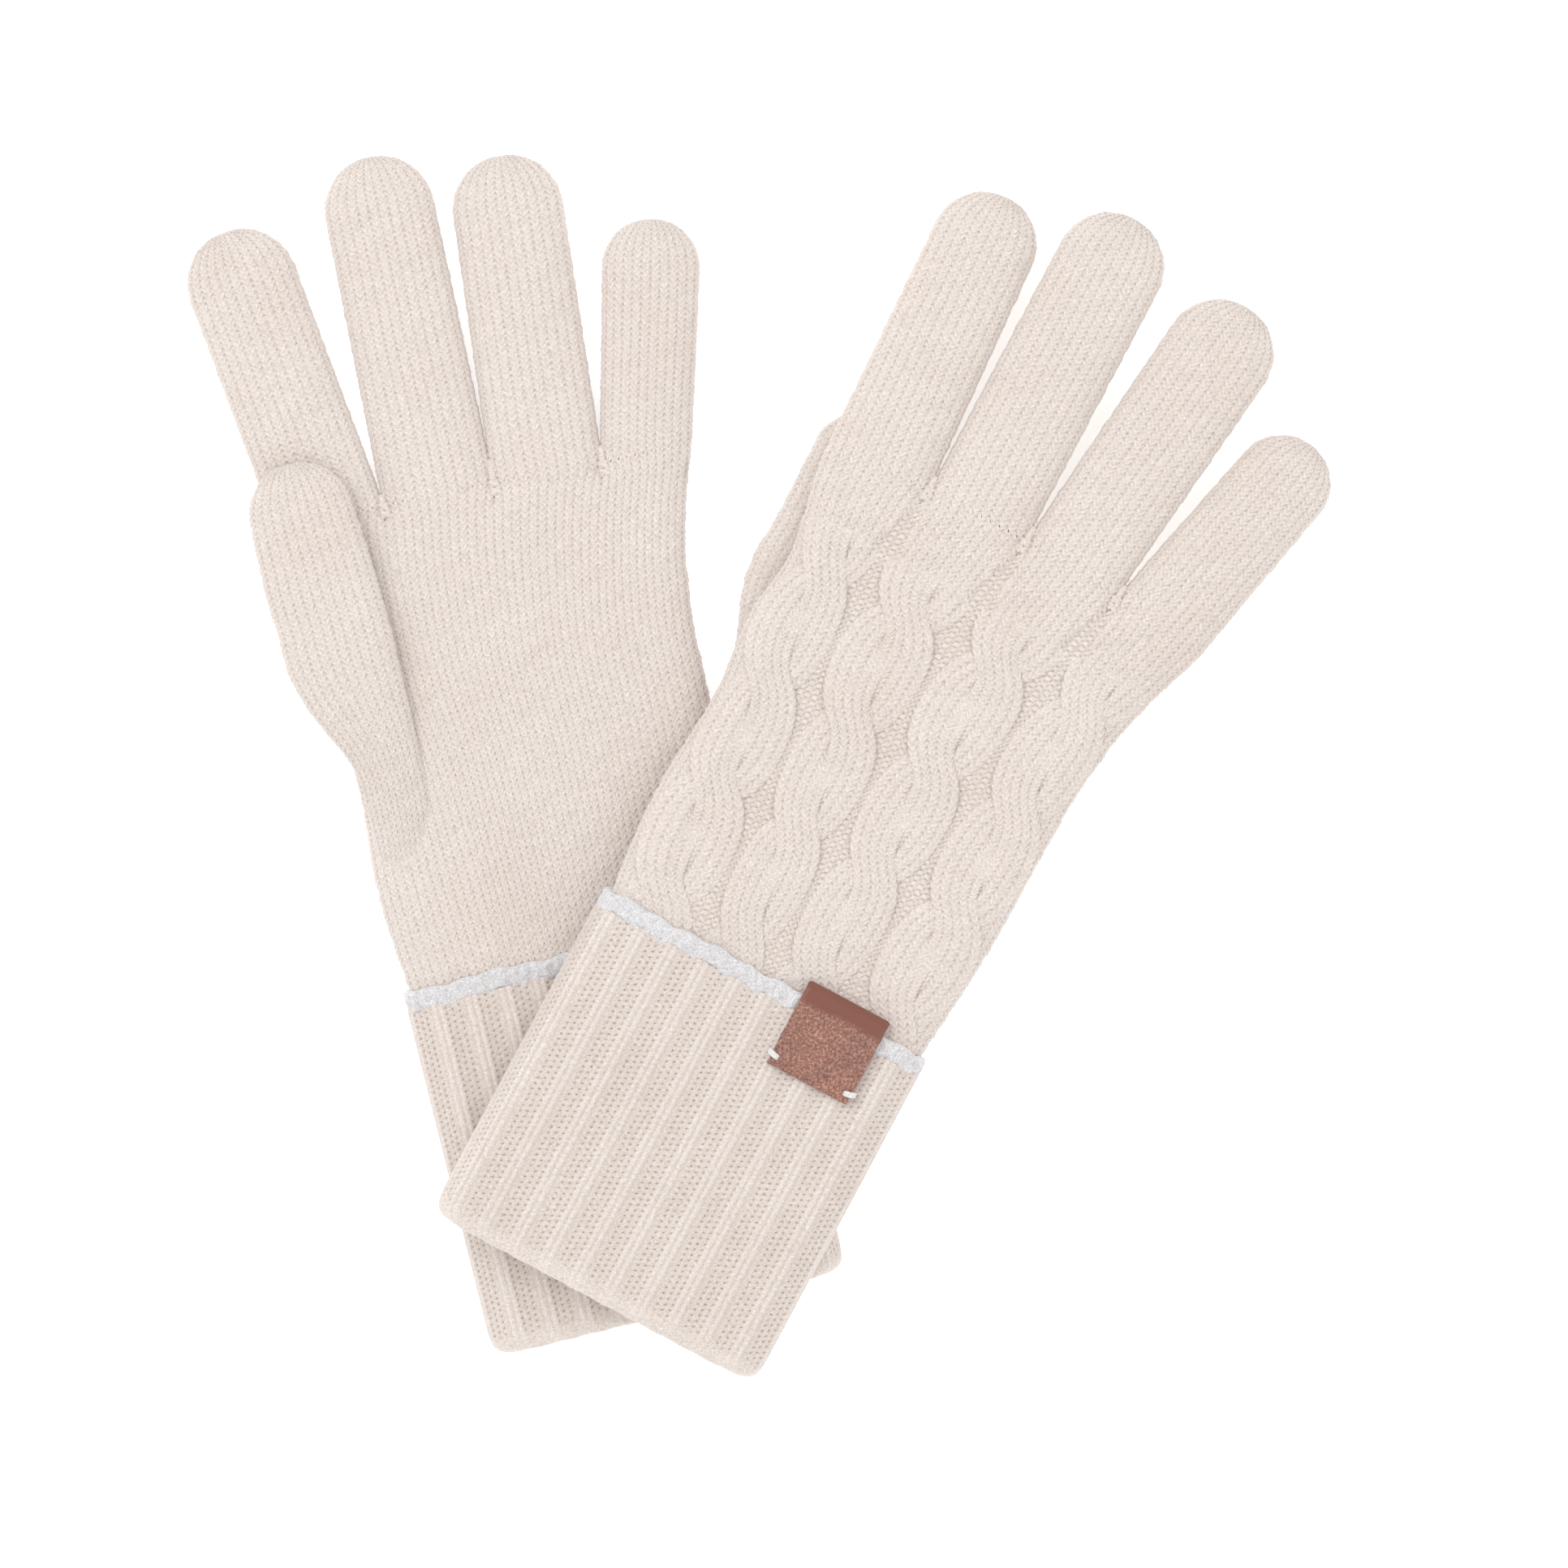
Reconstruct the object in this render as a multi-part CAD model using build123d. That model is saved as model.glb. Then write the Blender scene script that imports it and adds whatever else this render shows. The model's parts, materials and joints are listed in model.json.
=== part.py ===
"""A pair of knitted gloves with turned-up ribbed cuffs, laid one over the other.

Each glove is modelled in its own lay frame, in millimetres: origin at the middle of the
cuff's folded bottom edge, +Y towards the fingers, thumb on the -X side, +Z out of the palm.
The left glove lies palm up. The right glove is the same shape turned over, palm down.
"""
from build123d import *
from math import asin, atan2, cos, degrees, radians, sin
import os

# Fabric
WALL = 1.7
HAND_CAVITY = 5.0
THUMB_CAVITY = 3.0
RUNNING_GAP = 0.3

# Cuff: the sleeve is doubled back outwards over itself
CUFF_WIDTH = 88.4
EDGE_BAND = 4.0
FOLD = 2.0
TURN_UP_WALL = 1.8
CUFF_CLEARANCE = 0.25
CUFF_CORNER = 6.0
MOUTH_CORNER = 2.0

# Hand outline, as (x, y) up each side from inside the cuff to where the fingers begin
THUMB_SIDE = [(-42.0, 84.0), (-44.8, 119.0), (-44.3, 150.0), (-44.9, 178.0)]
LITTLE_SIDE = [(42.2, 84.0), (46.0, 122.0), (46.6, 150.0), (48.3, 172.0), (51.0, 188.0)]

# Where the fingers begin. A web joins two neighbours: its x, the y of the crotch, the y up to
# which the two fingers lie side by side, and the gap that one needs to curl past the other
WEBS = [(-20.4, 209.0, 222.0, 0.6), (7.3, 208.0, 221.0, 0.9), (34.4, 206.0, 218.0, 1.8)]
OUTER_ROOTS = [(-47.2, 209.0), (57.0, 206.0)]
BASE_Y = 203.0
BASE_TUCK = 2.0

# Thumb and its gusset
THUMB_Y = 165.0
GUSSET_Y = 138.0
GUSSET_WIDTH = 9.0
GUSSET_X = -36.5
THUMB_WIDTH = 25.2
THUMB_TIP_Y = 224.0

# Leather label on the right cuff and its two stitches
LABEL_SIZE = 22.0
LABEL_X = 21.2
LABEL_ABOVE_EDGE = 3.2
LABEL_THICK = 1.2
LABEL_LIP = 1.0
LABEL_STITCH_INSET = 2.0
LABEL_STITCH_LENGTH = 3.0
LABEL_STITCH_DIA = 1.0

# Linking stitches that close each finger crotch
CROTCH_STITCH = (5.0, 3.6, 0.3)

# Lay of the pair: the right glove rests on the left glove's cuff
GLOVE_GAP = 0.3
FLOOR_GAP = 0.05
LIFT_RANGE = 120.0
CURL_RANGE = 85.0
THUMB_RANGE = 80.0

FINGERS = ("index", "middle", "ring", "little")

# The y of each finger's knuckle, where it folds
KNUCKLES = {"index": 226.0, "middle": 224.0, "ring": 221.5, "little": 218.5}

# Each fingertip: the x of its round end's centre, the y of its top, and its width
LEFT_TIPS = {
    "index": (-40.3, 283.7, 27.6),
    "middle": (-3.4, 293.1, 27.0),
    "ring": (27.9, 285.8, 27.0),
    "little": (58.0, 262.0, 23.8),
}
RIGHT_TIPS = {
    "index": (-36.8, 285.0, 27.0),
    "middle": (-7.2, 295.3, 27.4),
    "ring": (26.6, 289.0, 26.8),
    "little": (55.4, 266.8, 22.6),
}

HALF_HAND = HAND_CAVITY / 2 + WALL
HALF_CUFF = HALF_HAND + CUFF_CLEARANCE + TURN_UP_WALL
THUMB_THICK = THUMB_CAVITY + 2 * WALL
KEEP = 400.0


class Lay:
    """Where one glove lies and how its hand and fingers slope from the cuff."""

    def __init__(self, name, tips, turn, place, base_z, palm_up, cuff_height, thumb_x,
                 thumb_pitch, root_drop):
        self.name = name
        self.tips = tips
        self.turn = turn
        self.place = place
        self.mid_z = base_z + HALF_CUFF
        self.palm_up = palm_up
        self.cuff_height = cuff_height
        self.thumb_x = thumb_x
        self.thumb_pitch = thumb_pitch
        self.slope = degrees(asin(root_drop / (KNUCKLES["index"] - cuff_height)))
        self.hand_pitch = -self.slope if palm_up else self.slope

    def tilt_hand(self, shape):
        return turned(shape, (0, self.cuff_height, 0), self.hand_pitch)

    def put(self, shape):
        """From the lay frame to the frame that the pair shares."""
        if not self.palm_up:
            shape = mirror(shape, about=Plane.XY)
        return Pos(*self.place, self.mid_z) * Rot(0, 0, self.turn) * shape

    def put_point(self, point):
        """The same move for one point of the untilted hand."""
        x, y, z = point
        pitch = radians(self.hand_pitch)
        along = y - self.cuff_height
        y = self.cuff_height + along * cos(pitch) - z * sin(pitch)
        z = along * sin(pitch) + z * cos(pitch)
        z = z if self.palm_up else -z
        turn = radians(self.turn)
        east = self.place[0] + x * cos(turn) - y * sin(turn)
        north = self.place[1] + x * sin(turn) + y * cos(turn)
        return (east, north, self.mid_z + z)

    def curl_axis(self):
        """The axis that curls a finger towards the palm by the right-hand rule."""
        turn = radians(self.turn)
        sense = 1.0 if self.palm_up else -1.0
        return (sense * cos(turn), sense * sin(turn), 0.0)

    def finger_pitch(self, finger):
        """A finger slopes until its tip rests on the surface that the pair lies on."""
        knuckle = KNUCKLES[finger]
        tip_y = self.tips[finger][1]
        root_z = self.put_point((0, knuckle, HALF_HAND if not self.palm_up else -HALF_HAND))[2]
        down = degrees(asin((root_z - FLOOR_GAP) / (tip_y - knuckle)))
        return self.slope - down if self.palm_up else down - self.slope


def turned(shape, pivot, pitch):
    """Turn a shape about the X direction through a pivot point."""
    away = Pos(*pivot)
    return away * Rot(pitch, 0, 0) * away.inverse() * shape


def above(y):
    return Pos(0, y + KEEP / 2, 0) * Box(2 * KEEP, KEEP, KEEP)


def below(y):
    return Pos(0, y - KEEP / 2, 0) * Box(2 * KEEP, KEEP, KEEP)


def rounded_slab(width, thick, corner, low_y, high_y):
    """A rounded rectangle in XZ, drawn out along Y."""
    section = RectangleRounded(width, thick, corner)
    return Pos(0, low_y, 0) * Rot(-90, 0, 0) * extrude(section, high_y - low_y)


def finger_root(name):
    """The x and y where each side of a finger leaves its neighbour or the hand's edge."""
    place = FINGERS.index(name)
    low, high = OUTER_ROOTS
    if place > 0:
        x, _, y, gap = WEBS[place - 1]
        low = (x + gap / 2, y)
    if place < len(WEBS):
        x, _, y, gap = WEBS[place]
        high = (x - gap / 2, y)
    return low, high


def finger_face(lay, name, inset=0.0):
    """A finger's flat outline: from its root, along its sides, to a half-round tip."""
    (low_x, low_y), (high_x, high_y) = finger_root(name)
    tip_x, tip_y, width = lay.tips[name]
    centre_y = tip_y - width / 2
    radius = width / 2 - inset
    splay = atan2(tip_x - (low_x + high_x) / 2, centre_y - BASE_Y)
    across = (radius * cos(splay), -radius * sin(splay))
    low_tuck = BASE_TUCK if name == FINGERS[0] else 0.0
    high_tuck = BASE_TUCK if name == FINGERS[-1] else 0.0
    start = (tip_x - across[0], centre_y - across[1])
    end = (tip_x + across[0], centre_y + across[1])
    top = (tip_x - across[1], centre_y + across[0])
    sides = Polyline(start, (low_x + inset, low_y), (low_x + inset + low_tuck, BASE_Y),
                     (high_x - inset - high_tuck, BASE_Y), (high_x - inset, high_y), end)
    return make_face(sides + ThreePointArc(start, top, end))


def hand_face(inset=0.0):
    """The hand's flat outline from the cuff to the finger crotches."""
    first = (OUTER_ROOTS[0][0] + inset, OUTER_ROOTS[0][1] - inset)
    last = (OUTER_ROOTS[1][0] - inset, OUTER_ROOTS[1][1] - inset)
    left = Spline(*[(x + inset, y) for x, y in THUMB_SIDE], first)
    right = Spline(*[(x - inset, y) for x, y in LITTLE_SIDE], last)
    return make_face(left + Line(first, last) + right + Line(left @ 0, right @ 0))


def both_ways(face, half_thick):
    return extrude(face, half_thick, both=True)


def hand_block(lay, inset, half_thick):
    """The hand with its finger bases up to each knuckle, as one block."""
    block = both_ways(hand_face(inset), half_thick)
    for name in FINGERS:
        block += both_ways(finger_face(lay, name, inset), half_thick) & below(KNUCKLES[name])
    return block


def gusset_outline(lay, inset):
    half_low = GUSSET_WIDTH / 2 - inset
    half_high = THUMB_WIDTH / 2 - inset
    return make_face(Polyline((GUSSET_X - half_low, GUSSET_Y + inset),
                              (GUSSET_X + half_low, GUSSET_Y + inset),
                              (lay.thumb_x + half_high, THUMB_Y),
                              (lay.thumb_x - half_high, THUMB_Y), close=True))


def gusset_block(lay, inset):
    """A wedge on the palm that grows from nothing to the thumb's thickness."""
    foot = HALF_HAND - inset
    top = HALF_HAND + RUNNING_GAP + THUMB_THICK - inset
    profile = make_face(Polyline((GUSSET_Y + inset, foot), (THUMB_Y, foot), (THUMB_Y, top),
                                 close=True))
    wedge = both_ways(Plane.YZ * profile, KEEP / 2)
    return wedge & both_ways(gusset_outline(lay, inset), KEEP / 2)


def palm_and_back(lay):
    shell = hand_block(lay, 0.0, HALF_HAND) - hand_block(lay, WALL, HAND_CAVITY / 2)
    shell -= below(lay.cuff_height + RUNNING_GAP)
    palm_half = Pos(0, 0, KEEP / 2) * Box(2 * KEEP, 2 * KEEP, KEEP)
    palm = (shell & palm_half) - gusset_block(lay, WALL)
    back = shell - palm_half
    return lay.tilt_hand(palm), lay.tilt_hand(back)


def finger(lay, name):
    """A knitted tube, open at the knuckle and closed at the tip."""
    knuckle = KNUCKLES[name]
    tube = both_ways(finger_face(lay, name), HALF_HAND)
    tube -= both_ways(finger_face(lay, name, WALL), HAND_CAVITY / 2)
    tube &= above(knuckle + RUNNING_GAP)
    droop = lay.finger_pitch(name)
    return lay.tilt_hand(turned(tube, (0, knuckle, HALF_HAND), droop))


def thumb_face(lay, inset):
    reach = THUMB_TIP_Y - THUMB_WIDTH / 2
    half = THUMB_WIDTH / 2 - inset
    sides = Polyline((-half, reach), (-half, THUMB_Y), (half, THUMB_Y), (half, reach))
    tip = ThreePointArc((-half, reach), (0, reach + half), (half, reach))
    return Pos(lay.thumb_x, 0, 0) * make_face(sides + tip)


def thumb(lay):
    """The thumb lies along the palm and opens into the gusset."""
    mid = HALF_HAND + RUNNING_GAP + THUMB_THICK / 2
    tube = both_ways(thumb_face(lay, 0.0), THUMB_THICK / 2)
    tube -= both_ways(thumb_face(lay, WALL), THUMB_CAVITY / 2)
    tube = Pos(0, 0, mid) * tube & above(THUMB_Y + RUNNING_GAP)
    hinge = (0, THUMB_Y, mid + THUMB_THICK / 2)
    return lay.tilt_hand(turned(tube, hinge, lay.thumb_pitch))


def thumb_gusset(lay):
    return lay.tilt_hand(gusset_block(lay, 0.0) - gusset_block(lay, WALL))


def inner_cuff(lay):
    """The sleeve inside the turn-up, open at the wrist and into the hand."""
    width = CUFF_WIDTH - 2 * (TURN_UP_WALL + CUFF_CLEARANCE)
    tube = rounded_slab(width, 2 * HALF_HAND, HALF_HAND - 0.5, FOLD, lay.cuff_height)
    return tube - cuff_cavity(FOLD, lay.cuff_height)


def cuff_cavity(low_y, high_y):
    width = CUFF_WIDTH - 2 * (TURN_UP_WALL + CUFF_CLEARANCE + WALL)
    return rounded_slab(width, HAND_CAVITY, MOUTH_CORNER, low_y, high_y)


def turn_up(low_y, high_y):
    """The outer layer of the cuff between two heights, with its bottom corners rounded."""
    tube = rounded_slab(CUFF_WIDTH, 2 * HALF_CUFF, HALF_CUFF - 0.5, low_y, high_y)
    inside = CUFF_WIDTH - 2 * TURN_UP_WALL
    room = HALF_HAND + CUFF_CLEARANCE
    tube -= rounded_slab(inside, 2 * room, room - 0.5, max(low_y, FOLD), high_y)
    outline = RectangleRounded(CUFF_WIDTH, 2 * high_y + CUFF_WIDTH, CUFF_CORNER)
    return tube & Pos(0, high_y + CUFF_WIDTH / 2, 0) * both_ways(outline, HALF_CUFF)


def turned_cuff(lay):
    """The turn-up and the fold that joins it to the sleeve inside."""
    return turn_up(0.0, lay.cuff_height - EDGE_BAND) - cuff_cavity(0.0, FOLD)


def cuff_edge(lay):
    """The linked band that finishes the top of the turn-up."""
    return turn_up(lay.cuff_height - EDGE_BAND, lay.cuff_height)


def crotch_stitches(lay):
    """Small bars of linking yarn across each finger crotch, on the palm and on the back."""
    bars = []
    width, length, thick = CROTCH_STITCH
    for x, crotch, _, _ in WEBS:
        for side in (-1, 1):
            place = Pos(x, crotch - length, side * (HALF_HAND + thick / 2))
            bars.append(place * Box(width, length, thick))
    return lay.tilt_hand(Compound(bars))


def leather_label(lay):
    """A square leaf on the outside of the turn-up that laps over its edge."""
    high_y = lay.cuff_height + LABEL_ABOVE_EDGE
    outer = HALF_CUFF + LABEL_THICK
    lip_depth = HALF_CUFF - HALF_HAND - CUFF_CLEARANCE + LABEL_THICK
    leaf = Pos(0, high_y - LABEL_SIZE / 2, outer - LABEL_THICK / 2) * Box(
        LABEL_SIZE, LABEL_SIZE, LABEL_THICK)
    lap_low = lay.cuff_height + RUNNING_GAP
    lap = Pos(0, (lap_low + high_y) / 2, outer - lip_depth / 2) * Box(
        LABEL_SIZE, high_y - lap_low, lip_depth)
    label = leaf + lap
    label = fillet(label.edges().filter_by(Axis.X).sort_by(Axis.Y)[-2:], LABEL_LIP)
    return Pos(LABEL_X, 0, 0) * Rot(0, 180, 0) * label


def label_stitches(lay):
    """Two short stitches of thick thread at the label's lower corners."""
    bars = []
    radius = LABEL_STITCH_DIA / 2
    half_disc = Circle(radius) & Pos(0, radius) * Rectangle(4 * radius, 2 * radius)
    bar = Rot(0, 90, 0) * extrude(half_disc, LABEL_STITCH_LENGTH / 2, both=True)
    bar = Rot(-90, 0, 0) * bar
    y = lay.cuff_height + LABEL_ABOVE_EDGE - LABEL_SIZE + LABEL_STITCH_INSET
    for side in (-1, 1):
        x = LABEL_X + side * (LABEL_SIZE / 2 - LABEL_STITCH_INSET)
        bars.append(Pos(x, y, -HALF_CUFF - LABEL_THICK) * bar)
    return Compound(bars)


def glove(lay):
    """Every piece of one glove, in the frame that the pair shares."""
    palm, back = palm_and_back(lay)
    pieces = {
        "palm_panel": palm,
        "back_panel": back,
        "thumb_gusset": thumb_gusset(lay),
        "thumb": thumb(lay),
        "inner_cuff": inner_cuff(lay),
        "turned_cuff": turned_cuff(lay),
        "cuff_edge": cuff_edge(lay),
        "crotch_stitches": crotch_stitches(lay),
    }
    for name in FINGERS:
        pieces[name + "_finger"] = finger(lay, name)
    if lay.name == "right":
        pieces["leather_label"] = leather_label(lay)
        pieces["label_stitches"] = label_stitches(lay)
    return {lay.name + "_" + name: lay.put(piece) for name, piece in pieces.items()}


LEFT = Lay("left", LEFT_TIPS, turn=14.0, place=(-21.6, -133.3), base_z=0.0, palm_up=True,
           cuff_height=92.0, thumb_x=-39.2, thumb_pitch=0.6,
           root_drop=HALF_CUFF - HALF_HAND - FLOOR_GAP)
RIGHT = Lay("right", RIGHT_TIPS, turn=-28.1, place=(-40.2, -128.5),
            base_z=2 * HALF_CUFF + GLOVE_GAP, palm_up=False,
            cuff_height=89.5, thumb_x=-38.7, thumb_pitch=1.2, root_drop=6.5)


def build():
    pieces = {**glove(LEFT), **glove(RIGHT)}
    box = Compound(list(pieces.values())).bounding_box()
    shift = (-(box.min.X + box.max.X) / 2, -(box.min.Y + box.max.Y) / 2, -box.min.Z)
    return {name: Pos(*shift) * piece for name, piece in pieces.items()}, shift


PIECES, SHIFT = build()
os.makedirs("parts", exist_ok=True)
for node, shape in PIECES.items():
    export_step(shape, "parts/" + node + ".step")
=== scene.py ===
"""The looks of a pair of knitted gloves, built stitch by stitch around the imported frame.

Each glove is made in its own lay frame, in millimetres: origin at the middle of the cuff's
folded bottom edge, +Y towards the fingers, thumb on the -X side, +Z out of the palm. The
right glove is the same shape turned over. Lay.world() takes points to the frame's metres.
"""
import json
from math import asin, atan2, cos, pi, radians, sin

import bpy
import numpy as np
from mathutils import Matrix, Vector


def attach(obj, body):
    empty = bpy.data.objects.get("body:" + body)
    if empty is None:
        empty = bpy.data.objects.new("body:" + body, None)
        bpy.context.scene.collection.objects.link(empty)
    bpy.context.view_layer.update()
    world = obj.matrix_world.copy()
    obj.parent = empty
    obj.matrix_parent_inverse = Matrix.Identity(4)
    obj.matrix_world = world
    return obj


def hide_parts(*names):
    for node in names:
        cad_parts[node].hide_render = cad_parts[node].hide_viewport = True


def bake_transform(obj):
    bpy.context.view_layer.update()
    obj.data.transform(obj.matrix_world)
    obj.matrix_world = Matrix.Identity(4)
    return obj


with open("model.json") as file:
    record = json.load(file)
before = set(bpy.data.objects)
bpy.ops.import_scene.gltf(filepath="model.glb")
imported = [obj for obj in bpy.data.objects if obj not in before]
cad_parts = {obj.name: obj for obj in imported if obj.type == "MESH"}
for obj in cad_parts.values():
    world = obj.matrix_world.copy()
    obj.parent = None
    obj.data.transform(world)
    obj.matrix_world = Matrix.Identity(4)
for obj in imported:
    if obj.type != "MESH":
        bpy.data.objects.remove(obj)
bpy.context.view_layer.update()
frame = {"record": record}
MM = 0.001
SEED = 7

# Knit gauge
WALE_COLUMNS = 4
COURSE_ROWS = 4
COURSE = 1.5
STRIP_WALES = 12
STITCH_HEIGHT = 0.42
STITCH_LEAN = 0.9
FULL_WALE = 1.2
# Painted shade: the darkest tone given to the pins between knit stitches
PIN_SHADE_TONE = 0.22
TONE_NOISE = 0.05
CROWN_TONE = 0.8

# Hand outline, as (x, y) up each side, and the lines that part the fingers: where they run up
# the hand, and the crotches in which they end on each glove
THUMB_SIDE = [(-41.6, 70.0), (-42.0, 84.0), (-44.4, 119.0), (-42.8, 145.0), (-44.4, 168.0),
              (-42.8, 181.0), (-44.0, 191.0), (-46.2, 202.0), (-47.2, 209.0)]
LITTLE_SIDE = [(41.4, 70.0), (42.2, 84.0), (45.4, 122.0), (45.9, 150.0), (47.4, 172.0),
               (50.6, 188.0), (56.6, 206.0)]
WEB_LINES = [[(-18.3, 70.0), (-20.8, 140.0), (-23.0, 182.0)],
             [(0.3, 70.0), (0.8, 140.0), (2.2, 182.0)],
             [(20.3, 70.0), (23.3, 140.0), (27.3, 182.0)]]
LEFT_CROTCHES = [(-20.4, 209.0), (7.3, 208.0), (34.4, 206.0)]
RIGHT_CROTCHES = [(-20.3, 212.2), (6.5, 212.0), (32.6, 210.0)]
HAND_LOW = 76.0
HAND_HIGH = 207.5
HAND_ROWS = round((HAND_HIGH - HAND_LOW) / COURSE) * COURSE_ROWS
STRIP_COLUMNS = STRIP_WALES * WALE_COLUMNS
SIDE_COLUMNS = 4 * STRIP_COLUMNS
JOIN_ROWS = COURSE_ROWS + 2
FINE = 320
WEB_DIP = 7.0
WEB_FILL_PAST = 2.5
WEB_FILL_DEPTHS = (1.9, 1.5, 0.8)
WEB_FILL_RADIUS = 1.0
PALM_HALF = 4.2
SHELL = 1.6
EDGE_ROUND = 9.0
FINGER_ROUND = 9.5

FINGERS = ("index", "middle", "ring", "little")
KNUCKLES = {"index": 226.0, "middle": 224.0, "ring": 221.5, "little": 218.5}
BEND_LENGTH = 14.0
BEND_AHEAD = 4.0
TIP_TURN = 0.985
TIP_THIN = 0.55
INNER_COLUMNS = 8
INNER_DENSITY = 0.07

# Thumb: its outer edge on each glove and its inner edge, then the height of its middle
# over the glove's mid-plane and its half thickness
LEFT_THUMB = [(-42.6, 116.0), (-42.0, 138.0), (-42.6, 148.0), (-46.8, 158.0), (-50.8, 168.0),
              (-52.5, 184.0), (-52.9, 202.0), (-52.6, 211.4)]
RIGHT_THUMB = [(-41.0, 116.0), (-41.8, 138.0), (-42.6, 150.0), (-45.2, 160.0), (-48.8, 169.0),
               (-50.4, 176.0), (-50.2, 188.0), (-50.4, 202.0), (-50.6, 211.4)]
THUMB_INNER = [(-31.0, 116.0), (-27.6, 130.0), (-26.4, 148.0), (-25.9, 166.0), (-26.0, 190.0),
               (-27.4, 211.4)]
THUMB_LIFT = [(1.0, 116.0), (3.0, 134.0), (5.2, 150.0), (7.3, 166.0), (7.9, 190.0), (7.9, 224.0)]
THUMB_HALF = [(2.2, 116.0), (2.7, 140.0), (3.3, 165.0), (3.3, 224.0)]
THUMB_Y = 165.0
THUMB_ROUND = 8.0
THUMB_PIVOT = 10.9
THUMB_TOP = 224.0
THUMB_BLEND = (-39.0, THUMB_Y - 2, 7.3)

# Cuff
CUFF_HALF_WIDTH = 44.2
CUFF_HALF = 6.25
CUFF_CORNER = 4.0
CUFF_ROUND = 9.0
FOLD_HEIGHT = 2.0
BAND = 5.0
TURN_UP = 1.8
MOUTH_WALL = 3.75
RIB_REPEATS = 22
KNIT_WALE = 1.7
PURL_WALE = 1.6
RIB_COLUMNS = 3
RIB_RISE = 0.72
RIB_STITCH = 0.34
EDGE_OVERLAP = 0.6
# How far each column of a repeat stands up: two knit wales, then three purl ones
RIB_PROFILE = [0.5, 1.0, 1.0, 0.75, 1.0, 1.0, 0.5, 0.2, 0.05, 0.0, 0.0, 0.0, 0.0, 0.05, 0.2]
SLEEVE_TOP = 79.0
BAND_COLUMNS = 28
BAND_ROWS = 28

# Cables on the back: crossings up each finger's column
CROSSINGS_Y = 95.0
CROSSING_PITCH = 28.9
STRAND_WALES = 5
STRAND_CROSSING_HALF = 5.1
CROSSING_SHARPNESS = 1.5
CABLE_GUTTER = 0.7
CABLE_LOW = 80.0
CABLE_HIGH = 204.0
CABLES_END = 188.0
CABLE_WIDEST = 26.0
STRAND_UNDER = 1.4
GUTTER_CLOSES = 186.0
GUTTER_END = 0.8
GUTTER_SPREAD = 3.6

# Label, thread and yarn
LABEL_SIZE = 22.0
LABEL_X = 21.2
LABEL_ABOVE_EDGE = 3.2
LABEL_THICK = 1.3
LABEL_BEND = 1.9
LABEL_OFF_CUFF = 0.75
LABEL_NOTCH = 2.6
LABEL_BAND = 5.5
THREAD_RADIUS = 0.45
LINK_RADIUS = 0.75
YARN_SIDES = 8

# Camera, in metres
CAMERA_HEIGHT = 1.6
VIEW_WIDTH = 0.3864


# ---- small maths

def smooth(t):
    t = np.clip(t, 0.0, 1.0)
    return t * t * (3 - 2 * t)


def along(points, y):
    """A smooth line through points given as (value, y): its value at each y."""
    value, knots = np.array(points, float).T
    slope = np.gradient(value, knots)
    at = np.clip(np.searchsorted(knots, y) - 1, 0, len(knots) - 2)
    width = knots[at + 1] - knots[at]
    t = (np.asarray(y) - knots[at]) / width
    t = np.clip(t, -0.5, 1.5)
    low = value[at] + slope[at] * width * t
    high = value[at + 1] + slope[at + 1] * width * (t - 1)
    return low + (high - low) * smooth(t)


def unit(vectors):
    return vectors / np.maximum(np.linalg.norm(vectors, axis=-1, keepdims=True), 1e-9)


def spread(count):
    """Numbers from 0 to 1, closer together towards both ends."""
    return (1 - np.cos(pi * np.linspace(0, 1, count))) / 2


def travelled(points):
    """How far along its line each point is; lines run along the last axis but one."""
    steps = np.linalg.norm(np.diff(points, axis=-2), axis=-1)
    return np.insert(np.cumsum(steps, -1), 0, 0.0, axis=-1)


def at_each(places, run, values):
    """Each column of values read along run at the given places."""
    return np.stack([np.interp(places, run, column) for column in values.T], -1)


def waves(x, y, seed, length, size):
    """A gentle random swell over the fabric, the same each run."""
    random = np.random.default_rng(seed)
    swell = 0.0
    for turn in random.uniform(0, 2 * pi, 5):
        reach = length * random.uniform(0.7, 1.5)
        phase = random.uniform(0, 2 * pi)
        swell = swell + np.sin((x * cos(turn) + y * sin(turn)) * 2 * pi / reach + phase)
    return swell * size / 3


def rounded(distance, radius):
    """Height, from 0 to 1, of a soft edge at a distance in from it."""
    return np.sqrt(np.clip(1 - (1 - np.clip(distance / radius, 0, 1)) ** 2, 0, 1))


def normals(grid, wrap):
    """Unit normals of a grid of points, rows by columns; wrap if its columns close up."""
    if wrap:
        across = np.roll(grid, -1, 1) - np.roll(grid, 1, 1)
    else:
        across = np.gradient(grid, axis=1)
    return unit(np.cross(across, np.gradient(grid, axis=0)))


def spaced(points, shares):
    """Points along each row's line, at the given shares of its length."""
    shares = np.broadcast_to(shares, (len(points), np.shape(shares)[-1]))
    return np.stack([at_each(share * run[-1], run, row)
                     for share, run, row in zip(shares, travelled(points), points)])


# ---- where a glove lies

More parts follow.
